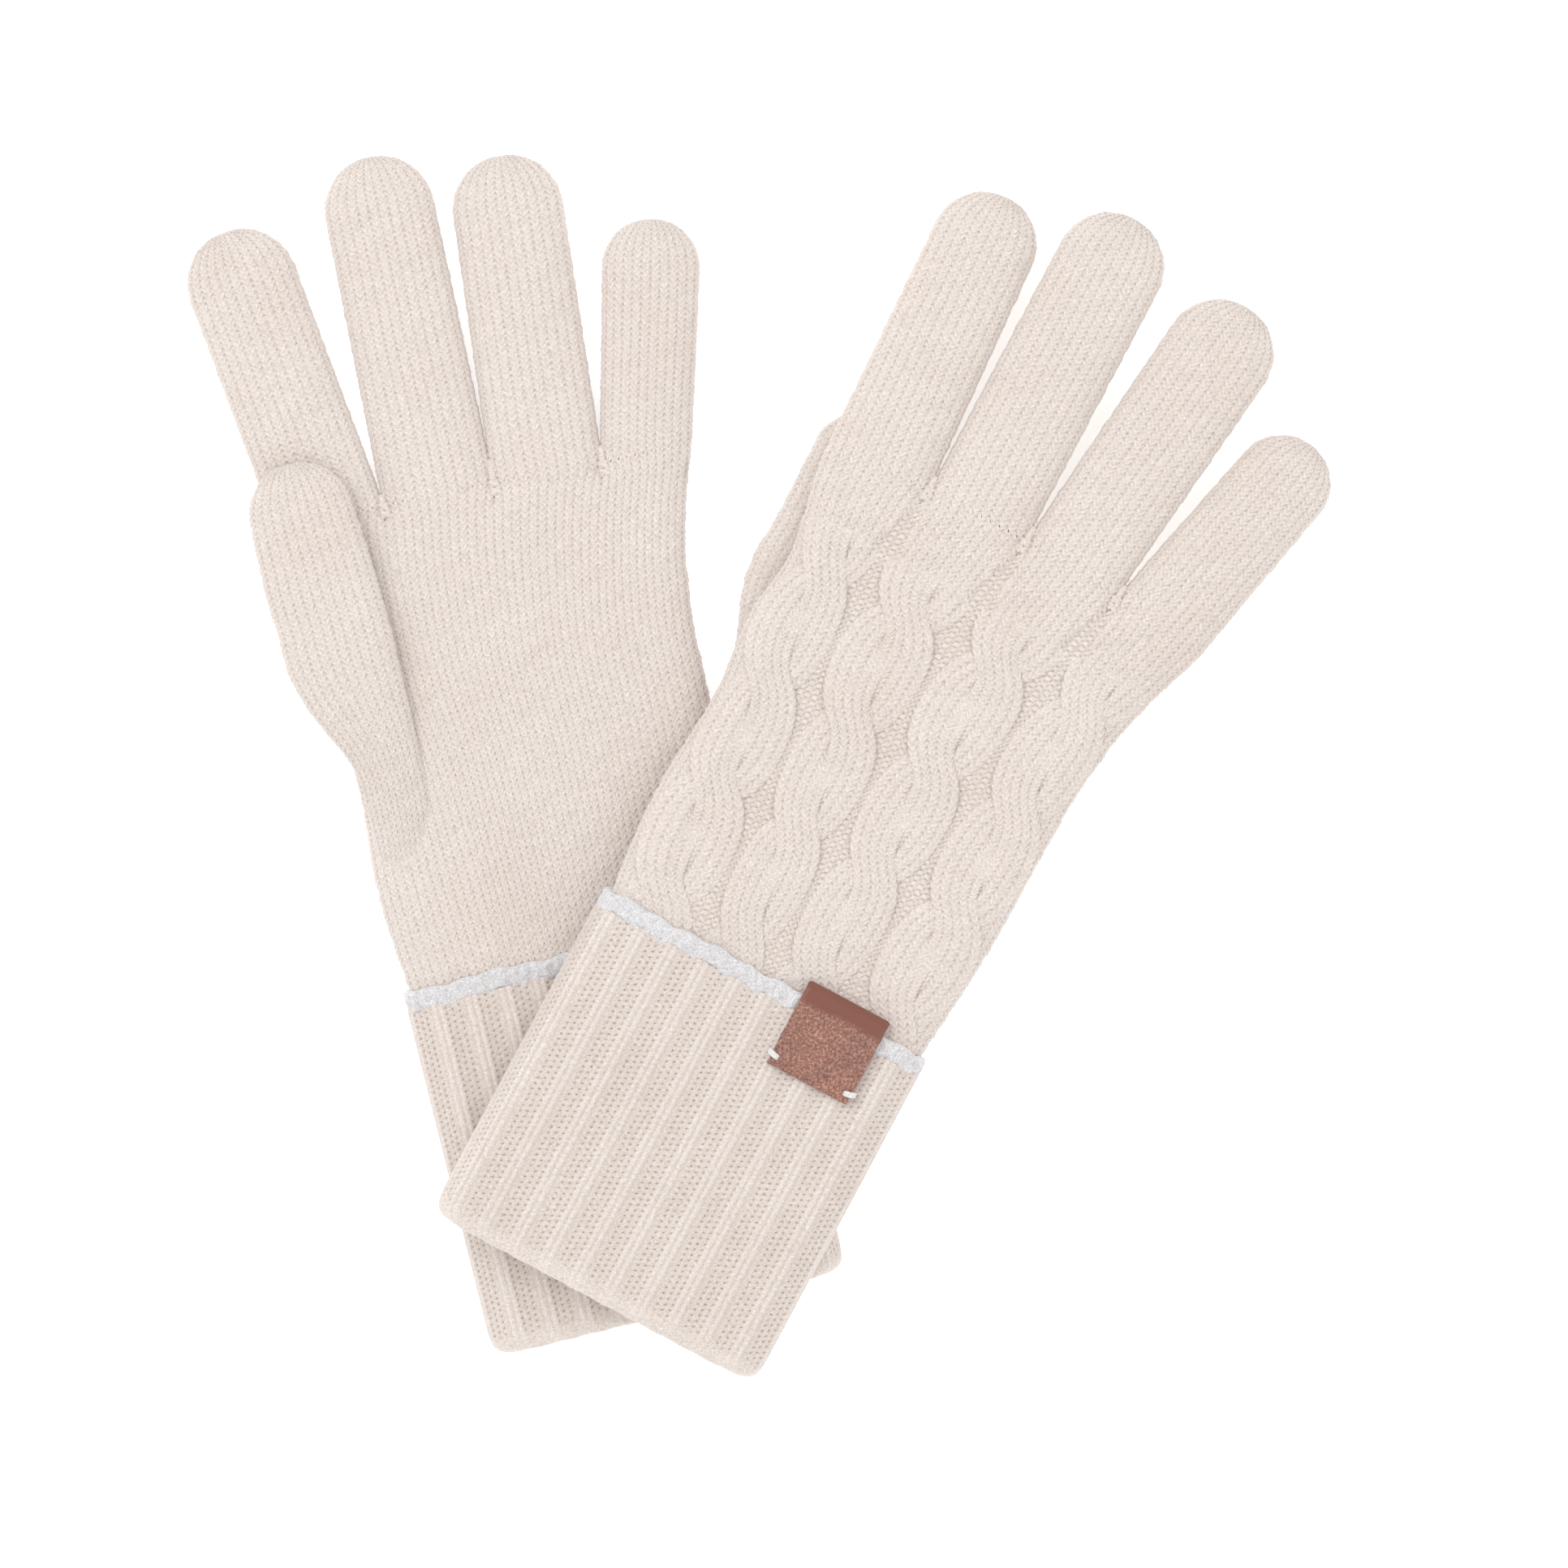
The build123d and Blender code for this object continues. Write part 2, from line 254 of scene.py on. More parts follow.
class Lay:
    """One glove's place, its slopes, and what is particular to it."""

    def __init__(self, side, palm_up, root_drop, crotches, **own):
        self.__dict__.update(own)
        mouth = next(m for m in frame["record"]["mounts"] if m["name"] == side + "_wrist_mouth")
        self.side = side
        self.origin = np.array(mouth["pos_m"]) / MM
        self.forward = -np.array(mouth["axis"])
        self.across = np.array([self.forward[1], -self.forward[0], 0.0])
        self.flip = 1.0 if palm_up else -1.0
        self.slope = asin(root_drop / (KNUCKLES["index"] - self.cuff_height))
        webs = [line + [crotch] for line, crotch in zip(WEB_LINES, crotches)]
        self.lines = [THUMB_SIDE, *webs, LITTLE_SIDE]
        self.roots = np.array([line[-1] for line in self.lines])

    def world(self, points, tilt=True):
        """Points in the frame's metres; tilt puts them on the hand's slope down from the cuff.

        The table presses the lowest stitches flat.
        """
        if tilt:
            points = pitched(points, self.cuff_height, 0.0, -self.flip * self.slope)
        x, y, z = np.split(points, 3, -1)
        up = np.array([0.0, 0.0, self.flip])
        placed = (self.origin + x * self.across + y * self.forward + z * up) * MM
        placed[..., 2] = np.maximum(placed[..., 2], 0.0)
        return placed

    def droop(self, finger):
        """How far a finger turns at its knuckle for its tip to rest on the table."""
        knuckle = np.array([[0.0, KNUCKLES[finger], -self.flip * PALM_HALF]])
        root = self.world(knuckle)[0, 2] / MM
        down = asin(root / (self.tips[finger][1] - KNUCKLES[finger]))
        return self.slope - down if self.flip > 0 else down - self.slope


def pitched(points, y, z, angle):
    """Turned about the X direction through (y, z); angle may differ from point to point."""
    ahead = points[..., 1] - y
    over = points[..., 2] - z
    turn_cos, turn_sin = np.cos(angle), np.sin(angle)
    turned_y = y + ahead * turn_cos - over * turn_sin
    turned_z = z + ahead * turn_sin + over * turn_cos
    return np.stack([points[..., 0], turned_y, turned_z], -1)


# Each tip is a finger's tip x, its tip y and its width; side_by_side is the y up to which each
# pair of fingers stays together, and thumb_pitch is in degrees
LEFT = Lay("left", True, 2.0, LEFT_CROTCHES, cuff_height=92.0, thumb_pitch=0.6, tips={
    "index": (-40.8, 283.9, 26.8), "middle": (-3.8, 293.2, 26.6),
    "ring": (26.9, 285.8, 26.8), "little": (57.5, 262.0, 23.6)},
    back_half=3.1, relief=0.5, thumb_outer=LEFT_THUMB,
    side_by_side=[209.5, 212.0, 208.5], web_gap=0.1)
RIGHT = Lay("right", False, 6.5, RIGHT_CROTCHES, cuff_height=89.5, thumb_pitch=1.2, tips={
    "index": (-37.0, 285.2, 25.6), "middle": (-7.1, 295.4, 26.4),
    "ring": (26.6, 289.2, 26.6), "little": (55.3, 266.9, 23.4)},
    back_half=3.4, relief=1.0, thumb_outer=RIGHT_THUMB,
    side_by_side=[214.0, 214.5, 212.0], web_gap=0.7)


# ---- stitches

# Heights in one stitch: a row for each quarter of the wale, a value for each of the course
KNIT = np.array([[0.0, 0.3, 0.5, 0.3], [0.42, 0.85, 1.0, 0.85], [0.42, 0.62, 0.72, 0.62],
                 [0.42, 0.85, 1.0, 0.85]])
PURL = np.array([[0.95, 0.5, 0.0, 0.5], [0.25, 0.75, 0.8, 0.5], [0.0, 0.8, 1.0, 0.7],
                 [0.25, 0.75, 0.8, 0.5]])
# Painted shade: each stitch's tone rises with its height, dark down in it and light on top
KNIT_SHADE_TONE = (0.28, 0.72)
PURL_SHADE_TONE = (0.08, 0.95)


def stitches(grid, purl, random):
    """Each grid point's height in its stitch, its tone, and how far its row leans up. The tone is
    painted shade that follows the height and is darkest at the pins, with random noise on top.
    """
    rows, columns = grid.shape[:2]
    in_wale = np.arange(columns) % WALE_COLUMNS
    in_course = np.arange(rows) % COURSE_ROWS
    knit = KNIT[in_wale][:, in_course].T
    bumps = PURL[in_wale][:, in_course].T
    uneven = 1 + waves(grid[..., 0], grid[..., 1], SEED + 6, 5.0, 0.2)
    height = (knit * (1 - purl) + bumps * purl) * uneven
    tone = ((KNIT_SHADE_TONE[0] + KNIT_SHADE_TONE[1] * knit) * (1 - purl)
            + (PURL_SHADE_TONE[0] + PURL_SHADE_TONE[1] * bumps) * purl)
    # Painted shade: each pin between knit stitches gets a dark random tone
    pins = (in_wale == 0) & (in_course == 0)[:, None] & (purl < 0.5)
    tone = np.where(pins, random.uniform(0.0, PIN_SHADE_TONE, tone.shape), tone)
    tone = tone + random.normal(0.0, TONE_NOISE, tone.shape)
    apart = np.abs(2 * in_wale / WALE_COLUMNS - 1)
    lean = apart[None, :] * (1 - purl) * STITCH_LEAN * COURSE_ROWS
    return height, tone, lean


def leaned(grid, lean):
    """Slides each point of a grid up its own column by lean rows."""
    rows = len(grid)
    at = np.clip(np.arange(rows)[:, None] + lean, 0, rows - 1)
    low = np.floor(at).astype(int)
    high = np.minimum(low + 1, rows - 1)
    part = (at - low)[..., None]
    column = np.arange(grid.shape[1])[None, :]
    return grid[low, column] * (1 - part) + grid[high, column] * part


def fullness(grid):
    """Row by row, 1 where the wales are wide and less where they run together at a tip."""
    columns = np.linalg.norm(np.diff(grid, axis=1), axis=2).mean(1, keepdims=True)
    return np.clip(columns * WALE_COLUMNS / FULL_WALE, 0, 1)


def knitted(grid, purl, seed, wrap=True):
    """A smooth grid turned into knitted fabric: its points, and each one's tone, which is painted
    shade of its stitch.
    """
    random = np.random.default_rng(seed)
    height, tone, lean = stitches(grid, purl, random)
    full = fullness(grid)
    base = leaned(grid, lean * full)
    lumps = waves(base[..., 0], base[..., 1], SEED + 5, 3.4, 0.1)
    rise = (height * STITCH_HEIGHT + lumps) * full
    return base + normals(base, wrap) * rise[..., None], tone


# ---- meshes

def fill(layer, key, values, kind=np.float32):
    """Gives every element of a mesh's layer its value."""
    layer.foreach_set(key, np.asarray(values).astype(kind).ravel())


def in_scene(name, data):
    """A new object with this data, in the scene."""
    obj = bpy.data.objects.new(name, data)
    bpy.context.scene.collection.objects.link(obj)
    return obj


def border(numbers):
    """The four sides of a grid of points, in order round it."""
    return numbers[0], numbers[:, -1], numbers[-1, ::-1], numbers[::-1, 0]


class Builder:
    """Collects the faces of one closed piece, in metres; a line in rims stays crisp."""

    def __init__(self):
        self.points, self.relief, self.faces, self.uvs, self.rims = [], [], [], [], []
        self.count = 0

    def add(self, points, relief):
        """Adds points, of any shape, and returns their numbers in that shape."""
        shape = points.shape[:-1]
        flat = points.reshape(-1, 3)
        self.points.append(flat)
        self.relief.append(np.broadcast_to(relief, shape).reshape(-1))
        numbers = np.arange(self.count, self.count + len(flat)).reshape(shape)
        self.count += len(flat)
        return numbers

    def grid(self, numbers, wrap=False, low=(0.0, 0.0), high=(1.0, 1.0)):
        """Quads over a grid of point numbers, with its own patch of the UV square."""
        rows, columns = numbers.shape
        u = np.linspace(low[0], high[0], columns + 1 if wrap else columns)
        v = np.linspace(low[1], high[1], rows)
        if wrap:
            numbers = np.concatenate([numbers, numbers[:, :1]], 1)
        a, b = numbers[:-1, :-1], numbers[:-1, 1:]
        c, d = numbers[1:, 1:], numbers[1:, :-1]
        self.faces.append(np.stack([a, b, c, d], -1).reshape(-1, 4))
        uv = np.stack(np.meshgrid(u, v), -1)
        corners = [uv[:-1, :-1], uv[:-1, 1:], uv[1:, 1:], uv[1:, :-1]]
        self.uvs.append(np.stack(corners, 2).reshape(-1, 4, 2))

    def zip(self, first, second, low, high):
        """Triangles between two lines of points that run side by side."""
        one, two = len(first) - 1, len(second) - 1
        i = j = 0
        faces, uvs = [], []
        while i < one or j < two:
            start, end = (i / one, 0), (j / two, 1)
            if j >= two or (i < one and (i + 1) * two <= (j + 1) * one):
                faces.append((first[i], first[i + 1], second[j], second[j]))
                i += 1
                uvs.append([start, (i / one, 0), end, end])
            else:
                faces.append((first[i], second[j + 1], second[j], second[j]))
                j += 1
                uvs.append([start, (j / two, 1), end, end])
        low, high = np.array(low), np.array(high)
        self.faces.append(np.array(faces))
        self.uvs.append(low + np.array(uvs, float) * (high - low))

    def fan(self, ring, tip, low=(0.0, 0.992), high=(1.0, 1.0)):
        """Triangles from a closed ring of points to one point."""
        ring = np.append(ring, ring[0])
        self.zip(ring, np.array([tip, tip]), low, high)

    def hem(self, outside, inside):
        """Closes the border between two grids that lie one over the other."""
        for place, (first, second) in enumerate(zip(border(outside), border(inside))):
            low = 0.95 + 0.012 * place
            self.zip(second, first, (0.0, low), (1.0, low + 0.009))

    def make(self, name, material):
        """Turns the piece into an object, with its faces outwards, and adds it to the scene."""
        points = np.concatenate(self.points)
        faces = np.concatenate(self.faces)
        uvs = np.concatenate(self.uvs)
        keep = np.ones(faces.shape, bool)
        keep[:, 3] = faces[:, 2] != faces[:, 3]
        sizes = keep.sum(1)
        a, b, c, d = (points[faces[:, k]] for k in range(4))
        volume = np.einsum("ij,ij->", a, np.cross(b, c) + np.cross(c, d))
        if volume < 0:
            faces, uvs, keep = faces[:, ::-1], uvs[:, ::-1], keep[:, ::-1]
        loops = faces[keep]
        mesh = bpy.data.meshes.new(name)
        mesh.vertices.add(len(points))
        fill(mesh.vertices, "co", points)
        mesh.loops.add(len(loops))
        fill(mesh.loops, "vertex_index", loops, np.int32)
        mesh.polygons.add(len(faces))
        fill(mesh.polygons, "loop_start", np.cumsum(sizes) - sizes, np.int32)
        fill(mesh.polygons, "use_smooth", np.ones(len(faces)), bool)
        mesh.update(calc_edges=True)
        fill(mesh.uv_layers.new(name="OFBake").data, "uv", uvs[keep])
        # Each point's tone; on the knit and the rib it carries painted stitch shade
        relief = mesh.attributes.new("relief", "FLOAT", "POINT")
        fill(relief.data, "value", np.concatenate(self.relief))
        rest = mesh.attributes.new("at_rest", "FLOAT_VECTOR", "POINT")
        fill(rest.data, "vector", points / MM)
        if self.rims:
            self.sharpen(mesh, len(points))
        mesh.materials.append(material)
        return in_scene(name, mesh)

    def sharpen(self, mesh, count):
        """Keeps the fabric's cut edges crisp, so that they don't shade its face."""
        on_rim = np.zeros(count, bool)
        on_rim[np.concatenate(self.rims)] = True
        ends = np.zeros(len(mesh.edges) * 2, np.int32)
        mesh.edges.foreach_get("vertices", ends)
        ends = ends.reshape(-1, 2)
        sharp = mesh.attributes.new("sharp_edge", "BOOLEAN", "EDGE")
        fill(sharp.data, "value", on_rim[ends].all(1), bool)


def ring_piece(lay, name, points, tone, material):
    """A piece that closes on itself both round the cuff and across: a ring with no end."""
    build = Builder()
    numbers = build.add(lay.world(points, False), np.clip(tone, 0, 1))
    build.grid(np.concatenate([numbers, numbers[:1]]), wrap=True)
    return build.make(name, material)


def slab(lay, name, outer, relief, inner, material, plain=0.5, share=0.74, tilt=True, crisp=1):
    """A sheet with a thickness: fine outside, plain inside, closed round.

    The outside takes a share of the UV square, and crisp is how many of the two faces keep a
    crisp edge, the outside first.
    """
    build = Builder()
    outside = build.add(lay.world(outer, tilt), relief)
    inside = build.add(lay.world(inner, tilt), plain)
    build.grid(outside, high=(1.0, share))
    build.grid(inside[::-1], low=(0.0, share + 0.02), high=(1.0, 0.94))
    build.hem(outside, inside)
    for face in (outside, inside)[:crisp]:
        for side in border(face):
            build.rims.append(side)
    return build.make(name, material)


def sock(lay, name, outer, relief, inner, ends, material):
    """A knitted tube, open at its root and closed at its tip; ends are its two tip points."""
    build = Builder()
    out = build.add(lay.world(outer), relief)
    build.grid(out, wrap=True, high=(1.0, 0.74))
    inside = build.add(lay.world(inner), 0.5)
    build.grid(inside[::-1], wrap=True, low=(0.0, 0.76), high=(1.0, 0.94))
    ends = build.add(lay.world(ends), 0.6)
    build.fan(out[-1], ends[0], (0.0, 0.95), (1.0, 0.958))
    build.fan(inside[-1][::-1], ends[1], (0.0, 0.96), (1.0, 0.968))
    first, second = (np.append(ring[0], ring[0, 0]) for ring in (out, inside))
    build.zip(second, first, (0.0, 0.97), (1.0, 0.98))
    build.rims.append(out[0])
    return build.make(name, material)


# ---- the hand

def boundaries(lay, y):
    """The x of the hand's thumb side, its three web lines and its little side, at each y."""
    return np.stack([along(line, y) for line in lay.lines], -1)


def crotch_height(lay, x):
    """The y of the hand's top at each x."""
    return np.interp(x, lay.roots[:, 0], lay.roots[:, 1])


def cable_centres(edges):
    """The middle of each finger's strip of the hand, where its cable runs."""
    return (edges[..., :4] + edges[..., 1:]) / 2


def gutter_half(lay, y):
    """Half the width of the purl gutter that runs out into each finger crotch."""
    narrows = smooth((y - GUTTER_CLOSES) / (lay.roots[2, 1] - CABLES_END))
    return GUTTER_END + GUTTER_SPREAD * (1 - narrows)


def web_distance(x, edges):
    """How far each point is from the nearest line between two fingers."""
    return np.min(np.abs(x[..., None] - edges[..., 1:4]), -1)


def purl_mask(lay, x, y):
    """1 where the back of the hand is purl: between the cables, up to the crotches."""
    edges = boundaries(lay, y)
    centres = cable_centres(edges)
    between = (x > centres[..., 0]) & (x < centres[..., 3])
    in_gutter = web_distance(x, edges) < gutter_half(lay, y)
    return np.where(y < CABLES_END, between, in_gutter).astype(float)


def hand_half(lay, x, y, palm):
    """The hand's half thickness at (x, y) on one of its sides.

    The back is thin under the cables, and full on the fingers, at both sides and at the top.
    """
    edges = boundaries(lay, y)
    side = np.minimum(x - edges[..., 0], edges[..., 4] - x)
    whole = rounded(side, EDGE_ROUND)
    nearest = np.min(np.abs(x[..., None] - edges), -1)
    lobes = rounded(nearest, FINGER_ROUND)
    dip = smooth((y - crotch_height(lay, x) + WEB_DIP) / WEB_DIP)
    half = PALM_HALF
    if not palm:
        centres = cable_centres(edges)
        off_gutter = smooth((web_distance(x, edges) - gutter_half(lay, y)) / 1.4 + 0.5)
        fingers = off_gutter * smooth((y - GUTTER_CLOSES) / 9.0)
        outside = np.maximum(centres[..., 0] - x, x - centres[..., 3])
        sides = smooth(outside / 4.0) * cable_press(y)
        top = smooth((y - lay.roots[2, 1] + 8.0) / 7.0)
        full = np.maximum(np.maximum(fingers, sides), top)
        half = lay.back_half + (PALM_HALF - lay.back_half) * full
    return (half + swell(x, y, palm)) * (whole * (1 - dip) + lobes * dip)


def swell(x, y, palm):
    """The fabric's slow waves on the palm or on the back."""
    return waves(x, y, SEED + (1 if palm else 2), 34.0, 0.22)


def cable_press(y):
    """The cables lie flat where they run into the cuff."""
    return 0.15 + 0.85 * smooth((y - 90.0) / 12.0)


def hand_ring(lay, inset=0.0, rows=HAND_ROWS + 1, columns=STRIP_COLUMNS, top_inset=0.0):
    """The hand's closed surface: palm from the thumb side across, then back again."""
    share = spread(FINE)
    up = np.linspace(0, 1, rows)[:, None]
    first, last = lay.roots[0, 0], lay.roots[4, 0]
    top = crotch_height(lay, first + (last - first) * share)[None] - top_inset
    y = HAND_LOW + (top - HAND_LOW) * up
    edges = boundaries(lay, y)
    x = edges[..., 0] + inset + (edges[..., 4] - edges[..., 0] - 2 * inset) * share
    sides = []
    for palm in (True, False):
        half = np.maximum(hand_half(lay, x, y, palm) - inset, 0.0)
        ends = np.clip(np.minimum(share, 1 - share) * 400, 0, 1)
        z = half * (ends if inset else 1.0) * (1 if palm else -1)
        line = np.stack([x, y, z], -1)
        run = travelled(line)
        run /= run[:, -1:]
        webs = [[np.interp(0.0, x[row] - edges[row, :, web], run[row]) for web in (1, 2, 3)]
                for row in range(rows)]
        marks = np.array([[0.0, *row, 1.0] for row in webs])
        part = np.arange(columns) / columns
        shares = marks[:, :4, None] + np.diff(marks, axis=1)[..., None] * part
        shares = np.concatenate([shares.reshape(rows, -1), marks[:, 4:]], 1)
        sides.append(spaced(line, shares))
    return sides


# ---- fingers

def finger_frame(lay, place):
    """A finger's left and right edges from root to tip, its tip's centre, splay and radius."""
    tip_x, tip_y, width = lay.tips[FINGERS[place]]
    radius = width / 2
    centre = np.array([tip_x, tip_y - radius])
    splay = atan2(*(centre - (lay.roots[place] + lay.roots[place + 1]) / 2))
    across = np.array([cos(splay), -sin(splay)])
    lines = []
    for side, inward in ((0, 1), (1, -1)):
        root, web = lay.roots[place + side], place + side - 1
        line = [root]
        if 0 <= web < 3:
            line.append((root[0] + inward * lay.web_gap / 2, lay.side_by_side[web]))
        lines.append(np.array([*line, centre - inward * across * radius]))
    return lines, centre, splay, radius


def smoothed_line(line, count):
    """Points evenly spaced along a line whose corner is eased."""
    run = travelled(line)
    raw = at_each(np.linspace(0, run[-1], 240), run, line)
    reach = 30
    kernel = np.hanning(2 * reach + 1)
    kernel /= kernel.sum()
    padded = np.pad(raw, ((reach, reach), (0, 0)), "reflect", reflect_type="odd")
    eased = np.stack([np.convolve(column, kernel, "valid") for column in padded.T], -1)
    return at_each(np.linspace(0, len(eased) - 1, count), np.arange(len(eased)), eased)


def tube_rows(length, radius, dense):
    """Rows up a tube, the turns of the rows round its tip, and how thick each row is."""
    body, cap = (int(round(run / COURSE)) * COURSE_ROWS for run in (length, radius * pi / 2))
    body, cap = max(int(body * dense), 4), max(int(cap * dense), 5)
    turn = np.linspace(0, pi / 2, cap + 1)[1:] * TIP_TURN
    return body, turn, np.concatenate([np.ones(body + 1), np.cos(turn) ** TIP_THIN])


def across_tube(wide, inset, radius):
    """Places across each row of a tube, and how far the soft edges let each one rise."""
    keep = np.clip(inset / np.maximum(wide, 1e-6), 0, 0.45)
    spot = keep + (1 - 2 * keep) * spread(FINE // 2)
    depth = np.minimum(spot, 1 - spot) * wide
    return spot, rounded(depth, np.minimum(radius, np.maximum(wide / 2, 0.2)))


def finger_ring(lay, place, inset=0.0, columns=STRIP_COLUMNS, dense=1.0):
    """A finger's closed surface: palm side from left to right, then back, row by row."""
    (left, right), centre, splay, radius = finger_frame(lay, place)
    length = np.linalg.norm(right[-1] + left[-1] - right[0] - left[0]) / 2
    body, turn, thin = tube_rows(length, radius, dense)
    ahead = np.array([sin(splay), cos(splay)])
    aside = np.cos(turn)[:, None] * np.array([cos(splay), -sin(splay)])
    onward = np.sin(turn)[:, None] * ahead
    left, right = (np.concatenate([smoothed_line(edge, body + 1),
                                   centre + radius * (onward + out)])
                   for edge, out in ((left, -aside), (right, aside)))
    wide = np.linalg.norm(right - left, axis=1)[:, None]
    spot, rise = across_tube(wide, inset, FINGER_ROUND)
    flat = left[:, None] + (right - left)[:, None] * spot[..., None]
    if inset:
        pull = 1 - inset / radius
        middle = (ahead * (np.sin(turn) * radius)[:, None])[:, None]
        cap = flat[body + 1:]
        flat[body + 1:] = centre + middle * pull + (cap - (centre + middle)) * pull
    sides = []
    for up in (1, -1):
        half = PALM_HALF + swell(flat[..., 0], flat[..., 1], up > 0)
        half = half * thin[:, None] * rise
        half = np.maximum(half - inset, 0.02 if inset else 0.0)
        line = np.concatenate([flat, (up * half)[..., None]], -1)
        sides.append(spaced(line, np.arange(columns + 1) / columns))
    top = centre + ahead * (radius - inset)
    return *sides, np.array([*top, 0.0])


def gathered(points, relief):
    """The stitches fade together at a tip: its point, and the tone of every point, whose painted
    stitch shade fades out towards the tip.
    """
    left = np.arange(len(relief))[::-1, None] / (2 * COURSE_ROWS)
    relief = relief + (CROWN_TONE - relief) * (1 - smooth(left))
    return points[-1].mean(0), relief


def drooped(lay, name, points):
    """Turns a finger softly at its knuckle so that its tip rests on the table."""
    knuckle = KNUCKLES[name]
    share = smooth((points[..., 1] - knuckle + BEND_AHEAD) / BEND_LENGTH)
    return pitched(points, knuckle, PALM_HALF, share * lay.droop(name))


def loop(palm, back):
    """One closed ring of columns from a palm side and a back side that share their edges."""
    return np.concatenate([palm, back[:, -2:0:-1]], 1)


def tube(lay, name, points, relief, inner, turned, material):
    """A finger or thumb from its stitches and its inner ring, turned into its resting place."""
    tip, relief = gathered(points, relief)
    *inner, inner_tip = inner
    ends = np.array([tip, inner_tip])
    return sock(lay, name, turned(points), relief, turned(loop(*inner)), turned(ends), material)


def make_hand(lay):
    """The palm and the back: one knitted tube, cut in two down its sides."""
    half = SIDE_COLUMNS
    sides = []
    for side in (0, 1):
        above = [lay.fingers[k][side][1:JOIN_ROWS + 1] for k in range(4)]
        above = [part[:, :-1] for part in above[:3]] + above[3:]
        sides.append(np.concatenate([lay.hand[side], np.concatenate(above, 1)]))
    ring = loop(*sides)
    purl = np.zeros(ring.shape[:2])
    purl[:, half:] = purl_mask(lay, ring[:, half:, 0], ring[:, half:, 1])
    points, relief = (np.concatenate([part, part[:, :1]], 1)[:HAND_ROWS + 1]
                      for part in knitted(ring, purl, SEED + (3 if lay is LEFT else 4)))
    palm, back = hand_ring(lay, SHELL, 21, 6, 2.0)
    for name, kind, columns, inner in (("palm", "plain", slice(half + 1), palm),
                                       ("back", "cable", slice(half, None), back[:, ::-1])):
        piece = slab(lay, f"{lay.side}_{name}_knit", points[:, columns], relief[:, columns],
                     inner, MATERIALS["knit"])
        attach(piece, lay.side + "_hand")
        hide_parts(f"{lay.side}_{name}_panel")


def make_finger(lay, place):
    """A finger, knitted on from the hand's last course."""
    name = FINGERS[place]
    palm, back, _ = lay.fingers[place]
    columns = slice(place * STRIP_COLUMNS, (place + 1) * STRIP_COLUMNS + 1)
    below = [side[-1 - COURSE_ROWS:-1, columns] for side in lay.hand]
    ring = loop(np.concatenate([below[0], palm]), np.concatenate([below[1], back]))
    points, relief = knitted(ring, 0.0, SEED + 20 + place)
    points = points[COURSE_ROWS:]
    inner = finger_ring(lay, place, SHELL, INNER_COLUMNS, INNER_DENSITY)
    body = f"{lay.side}_{name}"
    piece = tube(lay, body + "_knit", points, relief[COURSE_ROWS:], inner,
                 lambda part: drooped(lay, name, part), MATERIALS["knit"])
    root_x = np.mean(palm[COURSE_ROWS, :, 0])
    low = KNUCKLES[name] - BEND_AHEAD
    start = lay.world(np.array([root_x, low, 0.0]))
    end = lay.world(np.array([root_x, low + BEND_LENGTH, 0.0]))
    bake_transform(piece)
    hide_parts(body + "_finger")


# ---- thumb

def thumb_ring(lay, inset=0.0, columns=STRIP_COLUMNS, dense=1.0):
    """The thumb and its gusset as one tube that grows out of the palm."""
    low_y, high_y = THUMB_INNER[0][1], THUMB_INNER[-1][1]
    radius = (THUMB_INNER[-1][0] - lay.thumb_outer[-1][0]) / 2
    body, turn, thin = tube_rows(high_y - low_y, radius, dense)
    y = np.linspace(low_y, high_y, body + 1)
    left, right = along(lay.thumb_outer, y), along(THUMB_INNER, y)
    middle = (left[-1] + right[-1]) / 2
    pull = 1 - inset / radius
    left, right = (np.append(edge, middle + side * radius * np.cos(turn))[:, None]
                   for edge, side in ((left, -1), (right, 1)))
    y = np.concatenate([y, high_y + radius * pull * np.sin(turn)])
    lift = along(THUMB_LIFT, np.minimum(y, THUMB_TOP))
    thick = along(THUMB_HALF, np.minimum(y, THUMB_TOP)) * thin
    wide = right - left
    spot, rise = across_tube(wide, inset, THUMB_ROUND)
    x = left + wide * spot
    half = np.maximum(thick[:, None] * rise - inset * 0.8, 0.02 if inset else 0.0)
    rows = np.broadcast_to(y[:, None], x.shape)
    even = np.arange(columns + 1) / columns
    sides = [spaced(np.stack([x, rows, lift[:, None] + up * half], -1), even)
             for up in (1, -1)]
    return *sides, np.array([middle, high_y + radius * pull, lift[-1]])


def thumb_pitched(lay, points):
    """The thumb's upper part, turned softly at its fold."""
    share = smooth((points[..., 1] - THUMB_Y + BEND_AHEAD) / BEND_LENGTH)
    return pitched(points, THUMB_Y, THUMB_PIVOT, share * radians(lay.thumb_pitch))


def make_thumb(lay):
    """The thumb with its gusset, as one knitted tube."""
    *rings, _ = thumb_ring(lay)
    points, relief = knitted(loop(*rings), 0.0, SEED + 30)
    inner = thumb_ring(lay, SHELL, INNER_COLUMNS, INNER_DENSITY)
    piece = tube(lay, lay.side + "_thumb_knit", points, relief, inner,
                 lambda part: thumb_pitched(lay, part), MATERIALS["knit"])
    start = lay.world(np.array(THUMB_BLEND))
    end = lay.world(np.array(THUMB_BLEND) + np.array([0.0, BEND_LENGTH, 0.0]))
    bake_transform(piece)
    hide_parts(lay.side + "_thumb", lay.side + "_thumb_gusset")


# ---- cables

